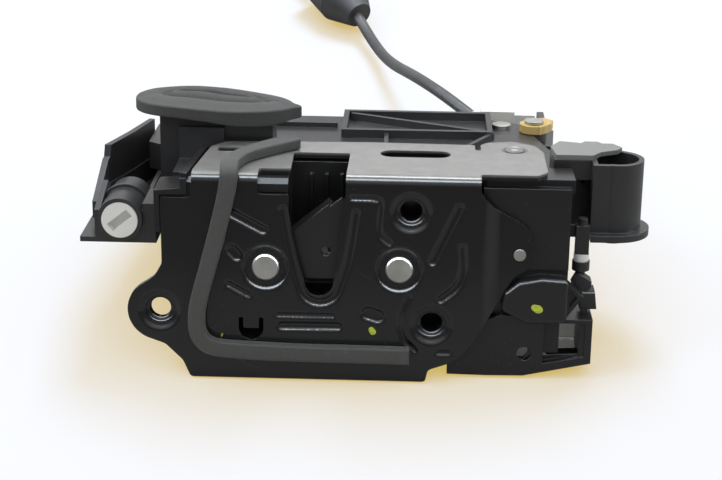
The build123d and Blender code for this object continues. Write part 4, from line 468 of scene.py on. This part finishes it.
# ---------------------------------------------------------------- finishes
class Link:
    """A socket of a finish under construction. Arithmetic on it adds Math nodes."""

    def __init__(self, finish, socket):
        self.finish, self.socket = finish, socket

    def math(self, operation, other=None, first=None):
        a, b = (self, other) if first is None else (first, self)
        return self.finish.node("ShaderNodeMath", {"operation": operation}, {0: a, 1: b})

    def __add__(self, other):
        return self.math("ADD", other)

    __radd__ = __add__

    def __sub__(self, other):
        return self.math("SUBTRACT", other)

    def __rsub__(self, other):
        return self.math("SUBTRACT", first=other)

    def __mul__(self, other):
        return self.math("MULTIPLY", other)

    __rmul__ = __mul__

    def __truediv__(self, other):
        return self.math("DIVIDE", other)

    def __rtruediv__(self, other):
        return self.math("DIVIDE", first=other)

    def between(self, low, high):
        """0 below low, 1 above high, smooth between."""
        return self.finish.node("ShaderNodeMapRange", {"interpolation_type": "SMOOTHSTEP"},
                                {"Value": self, "From Min": low, "From Max": high})


class Finish:
    """A node material being built: one Principled shader and the sockets that feed it."""

    def __init__(self, name):
        self.material = bpy.data.materials.new(name)
        self.material.use_nodes = True
        self.tree = self.material.node_tree
        self.shader = self.tree.nodes["Principled BSDF"]
        self.place = self.node("ShaderNodeTexCoord", out="Object")

    def node(self, kind, settings=None, inputs=None, out=0):
        """Any node: its type, its settings, then the values or links of its sockets. Returns the link of one of
        its outputs, or None where it has none."""
        made = self.tree.nodes.new(kind)
        for key, value in (settings or {}).items():
            setattr(made, key, value)
        for key, value in (inputs or {}).items():
            if isinstance(value, Link):
                self.tree.links.new(value.socket, made.inputs[key])
            elif value is not None:
                made.inputs[key].default_value = value
        return Link(self, made.outputs[out]) if len(made.outputs) else None

    def axis(self, name):
        """One coordinate of the piece's own place: X, Y or Z."""
        return self.node("ShaderNodeSeparateXYZ", inputs={0: self.place}, out=name)

    def moved(self, origin=(0, 0, 0), turn=(0, 0, 0), scale=(1, 1, 1)):
        """Object coordinates about another origin, turned and scaled."""
        return self.node("ShaderNodeMapping", {"vector_type": "TEXTURE"},
                         {"Vector": self.place, "Location": origin, "Rotation": turn, "Scale": scale})

    def noise(self, scale, detail=2.0, rough=0.5, vector=None):
        """Fractal noise from 0 to 1; scale is in features per metre."""
        return self.node("ShaderNodeTexNoise", None,
                         {"Vector": vector or self.place, "Scale": scale, "Detail": detail, "Roughness": rough})

    def cells(self, scale):
        """Distance to the nearest cell point; scale is in cells per metre."""
        return self.node("ShaderNodeTexVoronoi", {"feature": "F1"}, {"Vector": self.place, "Scale": scale})

    def in_latch(self, name):
        """One coordinate in latch axes, in metres: X, Y or Z."""
        return self.node("ShaderNodeSeparateXYZ", out=name,
                         inputs={0: self.moved(origin=tuple(LATCH_SHIFT), turn=(LEAN, 0, 0))})

    def blend(self, share, first, second):
        """Colour between two colours or links."""
        pad = lambda c: c if isinstance(c, Link) else (*c, 1.0)
        return self.node("ShaderNodeMix", {"data_type": "RGBA"}, {0: share, 6: pad(first), 7: pad(second)}, out=2)

    def eased(self, radius):
        """Normal with edges rounded over a radius, as a moulding's or pressing's edge is."""
        return self.node("ShaderNodeBevel", {"samples": 4}, {"Radius": radius})

    def relief(self, height, depth, strength=1.0, normal=None):
        """Normal tilted by a height from 0 to 1 that stands for depth metres."""
        return self.node("ShaderNodeBump", None,
                         {"Height": height, "Distance": depth, "Strength": strength, "Normal": normal})

    def done(self, **sockets):
        """Puts values or links on the shader's sockets, named with _ for each space."""
        for key, value in sockets.items():
            socket = self.shader.inputs[key.replace("_", " ")]
            if isinstance(value, Link):
                self.tree.links.new(value.socket, socket)
            else:
                socket.default_value = (*value, 1.0) if isinstance(value, tuple) and len(value) == 3 else value
        return self.material


class Sky(Finish):
    """The world's nodes, where a place is a direction from the latch."""

    def __init__(self, name):
        world = bpy.data.worlds.new(name)
        world.use_nodes = True
        bpy.context.scene.world = world
        self.tree = world.node_tree
        self.tree.nodes.clear()
        self.place = self.node("ShaderNodeTexCoord", out="Generated")

    def band(self, value, low, high, soft=0.05):
        """1 between low and high, falling to 0 on both sides."""
        return value.between(low - soft, low + soft) * (1 - value.between(high - soft, high + soft))


def tone(colour, amount):
    """A colour made lighter or darker by a share."""
    return tuple(min(1.0, c * amount) for c in colour)


# colours that a finish mixes in: dust on lacquer and on mouldings, the flange's painted reflection, and the two
# greys of painted reflection on its rivet
DUST, PALE_DUST, FLANGE_PAINTED_REFLECTION = (0.25, 0.25, 0.24), (0.35, 0.35, 0.34), (0.2, 0.2, 0.193)
RIVET_PAINTED_REFLECTION_GREYS = (0.16, 0.16, 0.155), (0.24, 0.24, 0.23)
# latch heights in metres between which the face's lacquer gives way to the flange's painted reflection
FLANGE_SHOWS = (0.0718, 0.0729)


def painted_steel(name, colour, gloss, edge=0.00025):
    """Electro-coated steel: glossy near-black lacquer with faint orange peel, dust and hairline scuffs, duller on
    the flange, which is painted a light grey as a painted reflection of the bright room."""
    f = Finish(name)
    flange = f.in_latch("Z").between(*FLANGE_SHOWS)
    peel = f.noise(620.0, 1.0)
    dust = f.cells(420.0).between(0.10, 0.02) * f.noise(60.0, 1.0).between(0.5, 0.75)
    scuff = f.noise(38.0, 4.0, 0.6, f.moved(turn=(0, 0.5, 0), scale=(1, 1, 0.08))).between(0.64, 0.76)
    cloud = f.noise(160.0, 3.0, 0.6).between(0.3, 0.7)
    skin = f.blend(dust * 0.30 + scuff * 0.06, colour, DUST)
    # painted reflection: the flange turns a light grey, mottled by cloud, in place of the bright room that it
    # reflects
    skin = f.blend(flange * (0.8 + cloud * 0.2), skin, FLANGE_PAINTED_REFLECTION)
    return f.done(Base_Color=skin, Roughness=gloss + dust * 0.3 + scuff * 0.16 + flange * 0.22,
                  Coat_Weight=0.5 + flange * 0.3, Coat_Roughness=0.08, Coat_IOR=1.5, IOR=1.42,
                  Normal=f.relief(peel, 0.00002, 0.12, f.eased(edge)))


def moulded(name, colour, rough, grain=0.00004, edge=0.0003):
    """Moulded plastic: fine spark-eroded grain, slow shade changes, rounded edges and a little dust."""
    f = Finish(name)
    shade = f.noise(18.0, 3.0, 0.6)
    dust = f.cells(500.0).between(0.12, 0.03) * f.noise(45.0, 1.0).between(0.5, 0.7)
    skin = f.blend(shade.between(0.3, 0.75) * 0.25, colour, tone(colour, 1.6))
    skin = f.blend(dust * 0.22, skin, PALE_DUST)
    return f.done(Base_Color=skin, Roughness=rough + shade * 0.12 - 0.06 + dust * 0.2, IOR=1.5,
                  Normal=f.relief(f.noise(2600.0, 2.0), grain, 0.25, f.eased(edge)))


def plated(name, colour, rough, edge=0.00025, brush=0.3):
    """Zinc-plated or bare steel: metal with fine tumbling marks and cloudy passivation."""
    f = Finish(name)
    cloud = f.noise(120.0, 4.0, 0.6)
    marks = f.noise(2200.0, 3.0, 0.7, f.moved(scale=(1, 1, 0.25)))
    skin = f.blend(cloud.between(0.3, 0.7), tone(colour, 0.82), tone(colour, 1.08))
    return f.done(Base_Color=skin, Metallic=1.0, Roughness=rough + cloud * 0.14 + marks * brush * 0.2 - 0.08,
                  Normal=f.relief(marks, 0.00002, brush, f.eased(edge)))


def dished_rivet(name, colour, flat=0.0011):
    """A rivet closed by a punch: its greys are painted reflection, like the flange's painted reflection about it,
    with a small bright flat of that radius at its centre."""
    f = Finish(name)
    across, along = f.in_latch("X") - FLANGE_RIVET_X * MM, f.in_latch("Y") - FLANGE_RIVET_Y * MM
    bright = (across * across + along * along).between(flat ** 2 * 1.6, flat ** 2)
    marks = f.noise(1800.0, 3.0, 0.7)
    # painted reflection: the rivet's two greys match the flange's painted grey
    return f.done(Base_Color=f.blend(bright, f.blend(marks, *RIVET_PAINTED_REFLECTION_GREYS), colour),
                  Metallic=bright * 0.8, Roughness=0.42 - bright * 0.1,
                  Normal=f.relief(marks, 0.00003, 0.3, f.eased(0.0002)))


def foam(name, colour, pore=0.0006):
    """Closed-cell foam: fine cut cells, satin skin, slow shade changes and a few paler nicks."""
    f = Finish(name)
    cell = f.cells(1.0 / pore)
    nick = f.noise(220.0, 3.0, 0.6)
    skin = f.blend(cell.between(0.15, 0.6), tone(colour, 0.88), tone(colour, 1.1))
    return f.done(Base_Color=f.blend(nick.between(0.62, 0.85), skin, tone(colour, 1.6)), Roughness=0.72,
                  Specular_IOR_Level=0.35,
                  Normal=f.relief(cell * 0.5 + nick * 0.5, 0.00012, 0.35))


def rubber(name, colour, rough=0.55):
    """Soft rubber: satin skin with a bloom of dust in its hollows."""
    f = Finish(name)
    bloom = f.noise(60.0, 4.0, 0.6)
    return f.done(Base_Color=f.blend(bloom.between(0.4, 0.8), colour, tone(colour, 1.9)),
                  Roughness=rough + bloom * 0.18 - 0.09,
                  Normal=f.relief(f.noise(1500.0, 3.0), 0.00005, 0.5))


def paint_mark(name, colour):
    """A dab of marking paint: thick at its rim, with streaks where the brush lifted."""
    f = Finish(name)
    streak = f.noise(700.0, 3.0, 0.6, f.moved(scale=(1, 1, 0.3)))
    return f.done(Base_Color=f.blend(streak.between(0.35, 0.7), tone(colour, 0.7), colour), Roughness=0.45,
                  Normal=f.relief(streak, 0.0001, 0.5))


# ---------------------------------------------------------------- settings
def colour_of(title, rgb, note):
    """A colour that can be set."""
    return FloatVectorProperty(name=title, description=note, subtype="COLOR", size=3, min=0.0, max=1.0, default=rgb)


class LatchColours(bpy.types.PropertyGroup):
    """Colours of the latch's finishes."""

    plate: colour_of("Face plate", (0.009, 0.009, 0.010), "Electro-coat on the steel face plate")
    moulding: colour_of("Black moulding", (0.018, 0.018, 0.019), "Housings, module shells and levers")
    jacket: colour_of("Claw jacket", (0.022, 0.022, 0.024), "Smooth moulding over the claw")
    steel: colour_of("Zinc steel", (0.62, 0.62, 0.58), "Rivets, pins and plated levers")
    dark_steel: colour_of("Dark steel", (0.16, 0.16, 0.16), "Claw and pawl cores")
    white: colour_of("White moulding", (0.74, 0.74, 0.71), "Rotor, clips and cable end")
    tan: colour_of("Tan moulding", (0.56, 0.40, 0.14), "Inner release lever")
    lid: colour_of("Hood lid", (0.21, 0.215, 0.21), "Grey lid beside the key hood")
    foam: colour_of("Foam", (0.062, 0.061, 0.058), "Seal strip and plug ring")
    rubber: colour_of("Rubber", (0.025, 0.025, 0.026), "Grommet")
    sheath: colour_of("Cable sheath", (0.045, 0.045, 0.047), "Release cable")
    paint: colour_of("Marking paint", (0.62, 0.72, 0.06), "Dabs left by assembly")


class LatchSizes(bpy.types.PropertyGroup):
    """Sizes of the pieces that are modelled here."""

    strip_width: FloatProperty(name="Strip width", description="Width of the foam strip", unit="LENGTH",
                               default=0.006, min=0.004, max=0.008)
    strip_height: FloatProperty(name="Strip height", description="Height of the foam strip off the steel",
                                unit="LENGTH", default=0.004, min=0.002, max=0.004)
    cable_diameter: FloatProperty(name="Cable diameter", description="Outside of the cable's sheath",
                                  unit="LENGTH", default=0.0046, min=0.003, max=0.006)


class LatchStage(bpy.types.PropertyGroup):
    """Floor, light and camera."""

    floor: colour_of("Floor", (0.86, 0.86, 0.85), "Pale table top")
    lens: FloatProperty(name="Lens", description="Focal length in millimetres", default=84.76, min=20, max=200)
    softbox: FloatProperty(name="Softbox", description="Power of the overhead softbox", default=4.0, min=0, max=50)


def settings():
    """The scene's colours, sizes and stage."""
    scene = bpy.context.scene
    return scene.latch_colours, scene.latch_sizes, scene.latch_stage


def rgb(value):
    """A set colour as three plain numbers."""
    return tuple(value)


def dress(material, *nodes):
    """Gives CAD nodes their finish."""
    for name in nodes:
        data = frame["nodes"][name].data
        data.materials.clear()
        data.materials.append(material)


# ---------------------------------------------------------------- operators
class LATCH_OT_face_plate(bpy.types.Operator):
    """Finish the pressed steel face plate"""

    bl_idname = "latch.face_plate"
    bl_label = "Face plate"

    def execute(self, context):
        colours = settings()[0]
        lacquer = painted_steel("black_painted_steel", rgb(colours.plate), 0.22)
        dress(lacquer, "face_plate")
        holes = [rounded(STRIKER_SLOT), rounded(TONGUE_WINDOW, 0.4), rounded(FLANGE_SLOT), rounded(FLANGE_WINDOW)]
        holes += [rounded(arc_points(x, z, radius, 0, 350, 36)) for x, z, radius in ROUND_HOLES]
        sheet = pressed_sheet("plate_sheet_surface", rounded(SHEET_EDGE), holes)
        piece("plate_sheet", sheet, lacquer, replaces=("face_plate",))
        for (x, z, end), place in zip(FIXINGS, ("upper", "lower", "ear")):
            collar = threaded_collar(f"{place}_thread_surface", x, z, end)
            piece(f"{place}_thread", collar, lacquer, replaces=("face_plate",))
        paint = paint_mark("marking_paint", rgb(colours.paint))
        for name, dot in DABS.items():
            piece(f"{name}_dab", dab(*dot), paint)
        return {"FINISHED"}


class LATCH_OT_mouldings(bpy.types.Operator):
    """Finish the black housings, shells and levers"""

    bl_idname = "latch.mouldings"
    bl_label = "Black mouldings"

    def execute(self, context):
        black = rgb(settings()[0].moulding)
        dress(moulded("housing_black", tone(black, 0.8), 0.27), "latch_housing", "side_housing")
        dress(moulded("module_black", tone(black, 1.8), 0.33), "actuator_base", "actuator_cover", "key_hood",
              "rotor_barrel", "micro_switches")
        dress(moulded("lever_black", tone(black, 1.2), 0.34), "link_rod", "rod_knob", "upper_link", "lower_link",
              "key_nut")
        dress(moulded("jacket_black", rgb(settings()[0].jacket), 0.22, grain=0.00001, edge=0.0006), "claw_jacket")
        return {"FINISHED"}


class LATCH_OT_light_mouldings(bpy.types.Operator):
    """Finish the white, tan, grey and natural mouldings"""

    bl_idname = "latch.light_mouldings"
    bl_label = "Light mouldings"

    def execute(self, context):
        colours = settings()[0]
        dress(moulded("white_moulding", rgb(colours.white), 0.45), "lock_rotor", "rod_clip", "cable_clip",
              "lock_button", "door_button")
        dress(moulded("tan_moulding", rgb(colours.tan), 0.40), "inner_lever")
        dress(moulded("lid_grey", rgb(colours.lid), 0.38), "hood_lid")
        dress(moulded("gear_nylon", (0.72, 0.70, 0.62), 0.35), "worm", "worm_wheel", "lock_lever")
        return {"FINISHED"}


class LATCH_OT_steel(bpy.types.Operator):
    """Finish rivets, pins, levers, screws, springs and the motor"""

    bl_idname = "latch.steel"
    bl_label = "Steel pieces"

    def execute(self, context):
        colours = settings()[0]
        bright = rgb(colours.steel)
        dress(plated("rivet_zinc", bright, 0.40, brush=0.5), "claw_pin", "pawl_pin", "tab_rivet")
        dress(dished_rivet("flange_rivet_grey", bright), "flange_rivet")
        # painted shade: zinc at half its tone on these pieces, for the lever that lies in shade behind the guard
        # window
        dress(plated("lever_zinc_painted_shade", tone(bright, 0.5), 0.26), "outside_lever", "outside_pin", "pawl_lever",
              "back_plate")
        dress(plated("screw_zinc", tone(bright, 0.9), 0.34), "inner_pin", "cover_screws")
        dress(plated("claw_steel", rgb(colours.dark_steel), 0.38), "claw", "pawl")
        dress(plated("spring_bright", (0.5, 0.5, 0.5), 0.22), "claw_spring", "pawl_spring")
        dress(plated("motor_case", tone(bright, 0.9), 0.24), "lock_motor")
        dress(plated("motor_shaft_steel", (0.45, 0.45, 0.45), 0.2), "motor_shaft")
        dress(plated("contact_tin", (0.72, 0.60, 0.36), 0.25), "connector_pins")
        return {"FINISHED"}


class LATCH_OT_board(bpy.types.Operator):
    """Finish the circuit board and the bump stop"""

    bl_idname = "latch.board"
    bl_label = "Board and bump stop"

    def execute(self, context):
        f = Finish("board_green")
        tracks = f.noise(300.0, 1.0)
        dress(f.done(Base_Color=f.blend(tracks.between(0.48, 0.52), (0.02, 0.10, 0.05), (0.03, 0.15, 0.07)),
                     Roughness=0.35), "circuit_board")
        dress(rubber("stop_rubber", (0.03, 0.03, 0.03), 0.6), "bump_stop")
        return {"FINISHED"}


# the foam strip's middle line in millimetres: up the face as x and z, then over the flange as x and y
STRIP_UP = [(31.0, 10.4), (12.0, 10.5), (-8.0, 10.6), (-27.0, 11.2), (-36.5, 12.4), (-40.6, 16.6), (-41.2, 23.0),
            (-40.2, 29.5), (-36.8, 42.0), (-33.6, 54.0), (-30.9, 65.4), (-29.9, 71.0)]
STRIP_CORNER = (-29.7, -1.0, -1.0)
STRIP_OVER = [(-29.9, 3.0), (-29.2, 7.5), (-27.2, 14.0), (-23.0, 20.5), (-17.0, 27.5), (-10.8, 33.5)]
STRIP_ROWS = 260
# its spread at the upper end: by what share of its width, and between which shares of its length
STRIP_SPREAD, SPREAD_FROM, SPREAD_TO = 0.28, 0.84, 0.97


def strip_sections(width, height):
    """The strip as a rounded box carried along its middle line: point = path + side * box x * width + outward *
    box y * height. Outward turns from the face's to the flange's, side is square to it and to the path, and
    both measures wander a little along the strip."""
    lift, (x, y, z) = height / 2, STRIP_CORNER
    path = [(x, -lift, z) for x, z in STRIP_UP] + [(x, y, FACE_TOP + lift + z)]
    path += [(x, y, FACE_TOP + lift) for x, y in STRIP_OVER]
    outward = [(0, -1, 0)] * len(STRIP_UP) + [(0, -0.7, 0.7)] + [(0, 0, 1)] * len(STRIP_OVER)
    line = even(smooth_path(np.hstack([path, outward]), 14), STRIP_ROWS).reshape(-1, 2, 3)
    path, outward = line[:, 0], unit(line[:, 1])
    side = unit(np.cross(unit(np.gradient(path, axis=0)), outward))
    box = soft_box(1.0, 1.0, 7.0, 28)
    t = np.linspace(0, 1, len(path))
    wide = width * (0.97 + 0.03 * ripple(t, 4, 9) + STRIP_SPREAD * eased_step(SPREAD_FROM, SPREAD_TO, t))
    high = height * (0.96 + 0.04 * ripple(t, 9, 14))
    return (path[:, None] + side[:, None] * (box[:, :1] * wide[:, None, None])
            + outward[:, None] * (box[:, 1:] * high[:, None, None]))


class LATCH_OT_foam_strip(bpy.types.Operator):
    """Lay the foam strip up the face plate and over its bend"""

    bl_idname = "latch.foam_strip"
    bl_label = "Foam strip"

    def execute(self, context):
        colours, sizes, _ = settings()
        grid = strip_sections(sizes.strip_width / MM, sizes.strip_height / MM)
        mesh = surface("foam_strip_surface", stood(grid))
        piece("seal_strip", mesh, foam("foam_black", rgb(colours.foam)), replaces=("foam_strip",))
        return {"FINISHED"}


# The plug tower in plan, as x and y, and its top. Then the foam ring: the middle and half length of its edge,
# its half width in front and behind, its turn in degrees, and the slit that it leaves over the socket.
TOWER_MIDDLE, TOWER_HALF, TOWER_TOP = np.array([-39.0, 52.3]), np.array([20.4, 9.1]), 83.6
RING_MIDDLE, RING_HALF, RING_FRONT, RING_BACK = (-40.2, 50.8), 28.6, 15.2, 17.2
RING_TURN = -7.0
# the power that blunts its left end, and the point at its right end: how far out and over what angle
RING_BLUNT, POINT_OUT, POINT_WIDE = 0.72, 0.10, 0.13
SLIT_MIDDLE, SLIT_HALF = (-41.0, 58.6), (11.5, 1.3)
# its left end, the height of its top there, the top's fall for each millimetre to the right, its thickness and
# the extra thickness at the front right, where it sags
RING_LEFT, RING_TOP, RING_FALL, RING_THICK, RING_SAG = -69.0, 86.0, 0.026, 4.2, 2.2
# rows over the top: share of the way from slit to edge, height over the mean top, more height at the front
RING_ROWS = [(0.0, -1.1, 0), (0.04, 0.2, 0), (0.14, 0.9, 0.5), (0.25, 0.4, 0.3), (0.33, -0.6, -1.2),
             (0.4, -0.5, -0.8), (0.48, 0.2, 0.5), (0.68, 0.5, 0.2), (0.88, 0.2, 0), (0.975, 0.0, 0), (1.0, -0.5, 0),
             (1.0, -1.6, 0)]


def slumped_ring(columns=144, steps=4):
    """The foam ring as sections round the plug tower. In plan a section runs from a slit over the socket (share
    0) to the ring's edge (share 1), both ellipses, the edge drawn out to a point at its right end. Its top leans
    down to the right and has a crease beside the slit. The section then turns under, back to the tower's wall,
    up it and over its top, and is smoothed through those rows."""
    angle = round_angles(columns)
    c, s = np.cos(angle), np.sin(angle)
    away = np.minimum(angle, 2 * math.pi - angle)
    blunt = np.where(c < 0, -np.abs(c) ** RING_BLUNT, c)
    point = POINT_OUT * np.exp(-(away / POINT_WIDE) ** 2)
    lean = math.radians(RING_TURN)
    half = np.where(s < 0, RING_FRONT, RING_BACK) * (1 - 0.16 * np.clip(c, 0, 1) ** 2)
    plan = np.stack([RING_HALF * (blunt + point), half * s * (1 + 0.04 * ripple(c / 4, 6, 4))], axis=1)
    turn = np.array([[math.cos(lean), math.sin(lean)], [-math.sin(lean), math.cos(lean)]])
    edge = plan @ turn + RING_MIDDLE
    slit = np.stack([SLIT_HALF[0] * c, SLIT_HALF[1] * s - c * c], axis=1) @ turn + SLIT_MIDDLE
    out = edge - TOWER_MIDDLE
    reach = np.minimum((TOWER_HALF / np.maximum(np.abs(out), 1e-6)).min(axis=1), 0.96)
    wall = TOWER_MIDDLE + out * reach[:, None]
    front, right = np.clip(-s, 0, 1), eased_step(-0.3, 0.9, c)
    wave = 0.4 * ripple(c / 3 + 0.2, 12, 6) + 0.3 * ripple(s / 3 + 0.4, 13, 6)
    top = RING_TOP - RING_FALL * (edge[:, 0] - RING_LEFT) + wave
    low = top - RING_THICK - RING_SAG * front * right
    over = np.full_like(top, TOWER_TOP + 0.25)
    rows = [(slit + (edge - slit) * share, top + rise + more * front) for share, rise, more in RING_ROWS]
    rows += [(edge, low + 0.6), (edge * 0.98 + TOWER_MIDDLE * 0.02, low + 0.05),
             (edge * 0.9 + TOWER_MIDDLE * 0.1, low), (wall * 0.6 + edge * 0.4, low), (wall, low + 0.3),
             (wall, over - 0.6), (wall * 0.95 + TOWER_MIDDLE * 0.05, over), (slit * 0.8 + wall * 0.2, over)]
    rows = np.array([np.column_stack(row) for row in rows]).reshape(len(rows), -1)
    loop = smooth_path(np.vstack([rows[-1:], rows, rows[:2]]), steps)[steps:-steps - 1]
    return loop.reshape(len(loop), -1, 3)


class LATCH_OT_plug_foam(bpy.types.Operator):
    """Fit the foam ring round the plug tower"""

    bl_idname = "latch.plug_foam"
    bl_label = "Plug foam"

    def execute(self, context):
        colours = settings()[0]
        finish = foam("ring_foam", tone(rgb(colours.foam), 0.8))
        dress(finish, "connector_foam")
        ring = piece("plug_ring", surface("plug_ring_surface", stood(slumped_ring()), ends="ring"), finish,
                     replaces=("connector_foam",))
        return {"FINISHED"}


# control points of the release cable's curve in the frame's metres, from its clip to its far end
CABLE_ROUTE = [(0.0382, 0.062180, 0.025790), (0.029, 0.0736, 0.027), (0.0155, 0.0946, 0.024), (0.004, 0.1246, 0.012),
               (-0.0035, 0.1496, 0.0064), (-0.013, 0.1716, 0.0107), (-0.027, 0.1926, 0.0149),
               (-0.043, 0.2106, 0.0086), (-0.066, 0.2236, 0.003), (-0.092, 0.2306, 0.0026), (-0.118, 0.2306, 0.0026),
               (-0.143, 0.224, 0.0026)]


class LATCH_OT_cable(bpy.types.Operator):
    """Run the release cable, its grommet and its end"""

    bl_idname = "latch.cable"
    bl_label = "Release cable"

    def execute(self, context):
        colours, sizes, _ = settings()
        line = bpy.data.curves.new("release_cable_line", "CURVE")
        line.dimensions = "3D"
        line.bevel_depth = sizes.cable_diameter / 2
        line.bevel_resolution = 6
        line.resolution_u = 16
        line.use_fill_caps = True
        spline = line.splines.new("NURBS")
        spline.points.add(len(CABLE_ROUTE) - 1)
        for point, place in zip(spline.points, CABLE_ROUTE):
            point.co = (*place, 1.0)
        spline.order_u = 3
        spline.use_endpoint_u = True
        line.materials.append(rubber("sheath_satin", rgb(colours.sheath), 0.42))
        cable = bpy.data.objects.new("release_cable", line)
        bpy.context.scene.collection.objects.link(cable)
        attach(cable, "latch")
        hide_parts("cable")
        dress(rubber("grommet_rubber", rgb(colours.rubber), 0.5), "grommet")
        dress(moulded("end_white", rgb(colours.white), 0.45), "cable_end")
        return {"FINISHED"}


# The table: a round slab. What the eye sees of it is a shaded part and a glowing part, near white together in
# full light and warm where the latch's shade takes the first. Reflections see it at a share of its colour.
TABLE_R, TABLE_THICK, TABLE_PIN = 1.2, 0.02, 0.0005
TABLE_SHADED, TABLE_GLOW, TABLE_IN_GLOSS = (0.30, 0.46, 0.80), (0.61, 0.44, 0.09), 0.4
# The room: its light in front and what it gains behind, the light overhead, and the white that the eye sees.
# The ceiling's bands show in gloss alone: the slopes y / z between which each lies, and its strength.
ROOM_FRONT, ROOM_GAIN, ROOM_OVERHEAD, ROOM_SEEN = 0.16, 0.84, 0.9, 0.97
# how far back, and how far up, a direction points as the light behind and the light overhead grow to full
BACK_GROWS, OVERHEAD_GROWS = (-0.6, 0.5), (0.1, 0.85)
CEILING_BANDS, BAND_COLOUR = ((-0.42, 0.0, 13.0), (0.5, 0.72, 9.0)), (0.80, 0.90, 1.0)
# the lamps: place, size and share of the softbox's power, all turned to one point
SOFTBOXES = {"softbox_back": ((0.05, 0.5, 0.8), 0.35, 1.0), "softbox_left": ((-0.7, -0.1, 0.7), 0.2, 0.3)}
LIT_POINT = Vector((0, 0, 0.03))
CAMERA_PLACE, CAMERA_TURN = (0.0151, -0.49966, 0.39288), (52.661, 0.01, 2.133)


def lay_table(stage):
    """A round slab turned about z, point = (r cos t, r sin t, z), with its finish."""
    t = round_angles(96)
    edge = [(TABLE_PIN, -TABLE_THICK), (TABLE_R, -TABLE_THICK), (TABLE_R, 0.0), (TABLE_PIN, 0.0)]
    grid = np.stack([np.stack([r * np.cos(t), r * np.sin(t), np.full_like(t, z)], axis=1) for r, z in edge])
    mesh = surface("table_top", grid, smooth=False)
    floor = bpy.data.objects.new("table", mesh)
    bpy.context.scene.collection.objects.link(floor)
    f = Finish("table_white")
    matt = lambda colour: f.node("ShaderNodeBsdfDiffuse", None, {"Color": (*colour, 1.0)})
    ray = lambda kind: f.node("ShaderNodeLightPath", None, out=kind)
    glow = f.node("ShaderNodeEmission", None, {"Color": (*TABLE_GLOW, 1.0), "Strength": 1.0})
    seen = f.node("ShaderNodeAddShader", None, {0: matt(TABLE_SHADED), 1: glow})
    plain = f.node("ShaderNodeMixShader", None, {0: ray("Is Glossy Ray"), 1: matt(rgb(stage.floor)),
                                                 2: matt(tone(stage.floor, TABLE_IN_GLOSS))})
    both = f.node("ShaderNodeMixShader", None, {0: ray("Is Camera Ray"), 1: plain, 2: seen})
    out = next(n for n in f.tree.nodes if n.type == "OUTPUT_MATERIAL")
    f.tree.links.new(both.socket, out.inputs["Surface"])
    mesh.materials.append(f.material)


def light_room():
    """The world: darker in front, bright behind and overhead, with the ceiling's bands in gloss alone."""
    sky = Sky("studio")
    y, z = sky.axis("Y"), sky.axis("Z")
    light = lambda colour, power=1.0: sky.node("ShaderNodeBackground", None,
                                               {"Color": (*colour, 1.0), "Strength": power})
    horizon = y.between(*BACK_GROWS) * ROOM_GAIN + ROOM_FRONT
    room = horizon.math("MAXIMUM", z.between(*OVERHEAD_GROWS) * ROOM_OVERHEAD)
    slope = y / z.math("MAXIMUM", 0.05)
    front, back = (sky.band(slope, low, high) * power for low, high, power in CEILING_BANDS)
    glossy = sky.node("ShaderNodeLightPath", out="Is Glossy Ray")
    eye = sky.node("ShaderNodeLightPath", out="Is Camera Ray")
    lit = sky.node("ShaderNodeAddShader", None, {0: light((1.0, 1.0, 1.0), room),
                                                 1: light(BAND_COLOUR, (front + back) * glossy)})
    seen = sky.node("ShaderNodeMixShader", None, {0: eye, 1: lit, 2: light((ROOM_SEEN,) * 3)})
    sky.node("ShaderNodeOutputWorld", None, {"Surface": seen})


def hang_softboxes(stage):
    """The lamps, each turned to the latch."""
    for name, (place, size, share) in SOFTBOXES.items():
        lamp = bpy.data.lights.new(name, "AREA")
        lamp.energy, lamp.size = stage.softbox * share, size
        made = bpy.data.objects.new(name, lamp)
        made.location = place
        made.rotation_euler = (LIT_POINT - Vector(place)).to_track_quat("-Z", "Y").to_euler()
        bpy.context.scene.collection.objects.link(made)


def set_camera(stage):
    """The camera at its place, as the scene's own."""
    camera = bpy.data.cameras.new("camera")
    camera.lens, camera.sensor_width = stage.lens, 36.0
    camera.clip_start, camera.clip_end = 0.01, 20.0
    made = bpy.data.objects.new("camera", camera)
    made.location = CAMERA_PLACE
    made.rotation_euler = [math.radians(angle) for angle in CAMERA_TURN]
    bpy.context.scene.collection.objects.link(made)
    bpy.context.scene.camera = made


class LATCH_OT_stage(bpy.types.Operator):
    """Set the table, the soft light and the camera"""

    bl_idname = "latch.stage"
    bl_label = "Stage"

    def execute(self, context):
        stage = settings()[2]
        bpy.context.scene.view_settings.view_transform = "Standard"
        lay_table(stage)
        light_room()
        hang_softboxes(stage)
        set_camera(stage)
        return {"FINISHED"}


class LATCH_PT_panel(bpy.types.Panel):
    """Lists the latch's operators and settings"""

    bl_label = "Door latch"
    bl_idname = "LATCH_PT_panel"
    bl_space_type = "VIEW_3D"
    bl_region_type = "UI"
    bl_category = "Latch"

    def draw(self, context):
        for step in OPERATORS:
            self.layout.operator(step.bl_idname)
        for group in settings():
            for name in group.__annotations__:
                self.layout.prop(group, name)


OPERATORS = (LATCH_OT_face_plate, LATCH_OT_mouldings, LATCH_OT_light_mouldings, LATCH_OT_steel, LATCH_OT_board,
             LATCH_OT_foam_strip, LATCH_OT_plug_foam, LATCH_OT_cable, LATCH_OT_stage)
CLASSES = (LatchColours, LatchSizes, LatchStage) + OPERATORS + (LATCH_PT_panel,)


def register():
    for item in CLASSES:
        bpy.utils.register_class(item)
    bpy.types.Scene.latch_colours = PointerProperty(type=LatchColours)
    bpy.types.Scene.latch_sizes = PointerProperty(type=LatchSizes)
    bpy.types.Scene.latch_stage = PointerProperty(type=LatchStage)


def unregister():
    del bpy.types.Scene.latch_stage
    del bpy.types.Scene.latch_sizes
    del bpy.types.Scene.latch_colours
    for item in reversed(CLASSES):
        bpy.utils.unregister_class(item)


def main():
    """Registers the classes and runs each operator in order."""
    register()
    for step in OPERATORS:
        group, name = step.bl_idname.split(".")
        getattr(getattr(bpy.ops, group), name)()


if __name__ == "__main__":
    main()
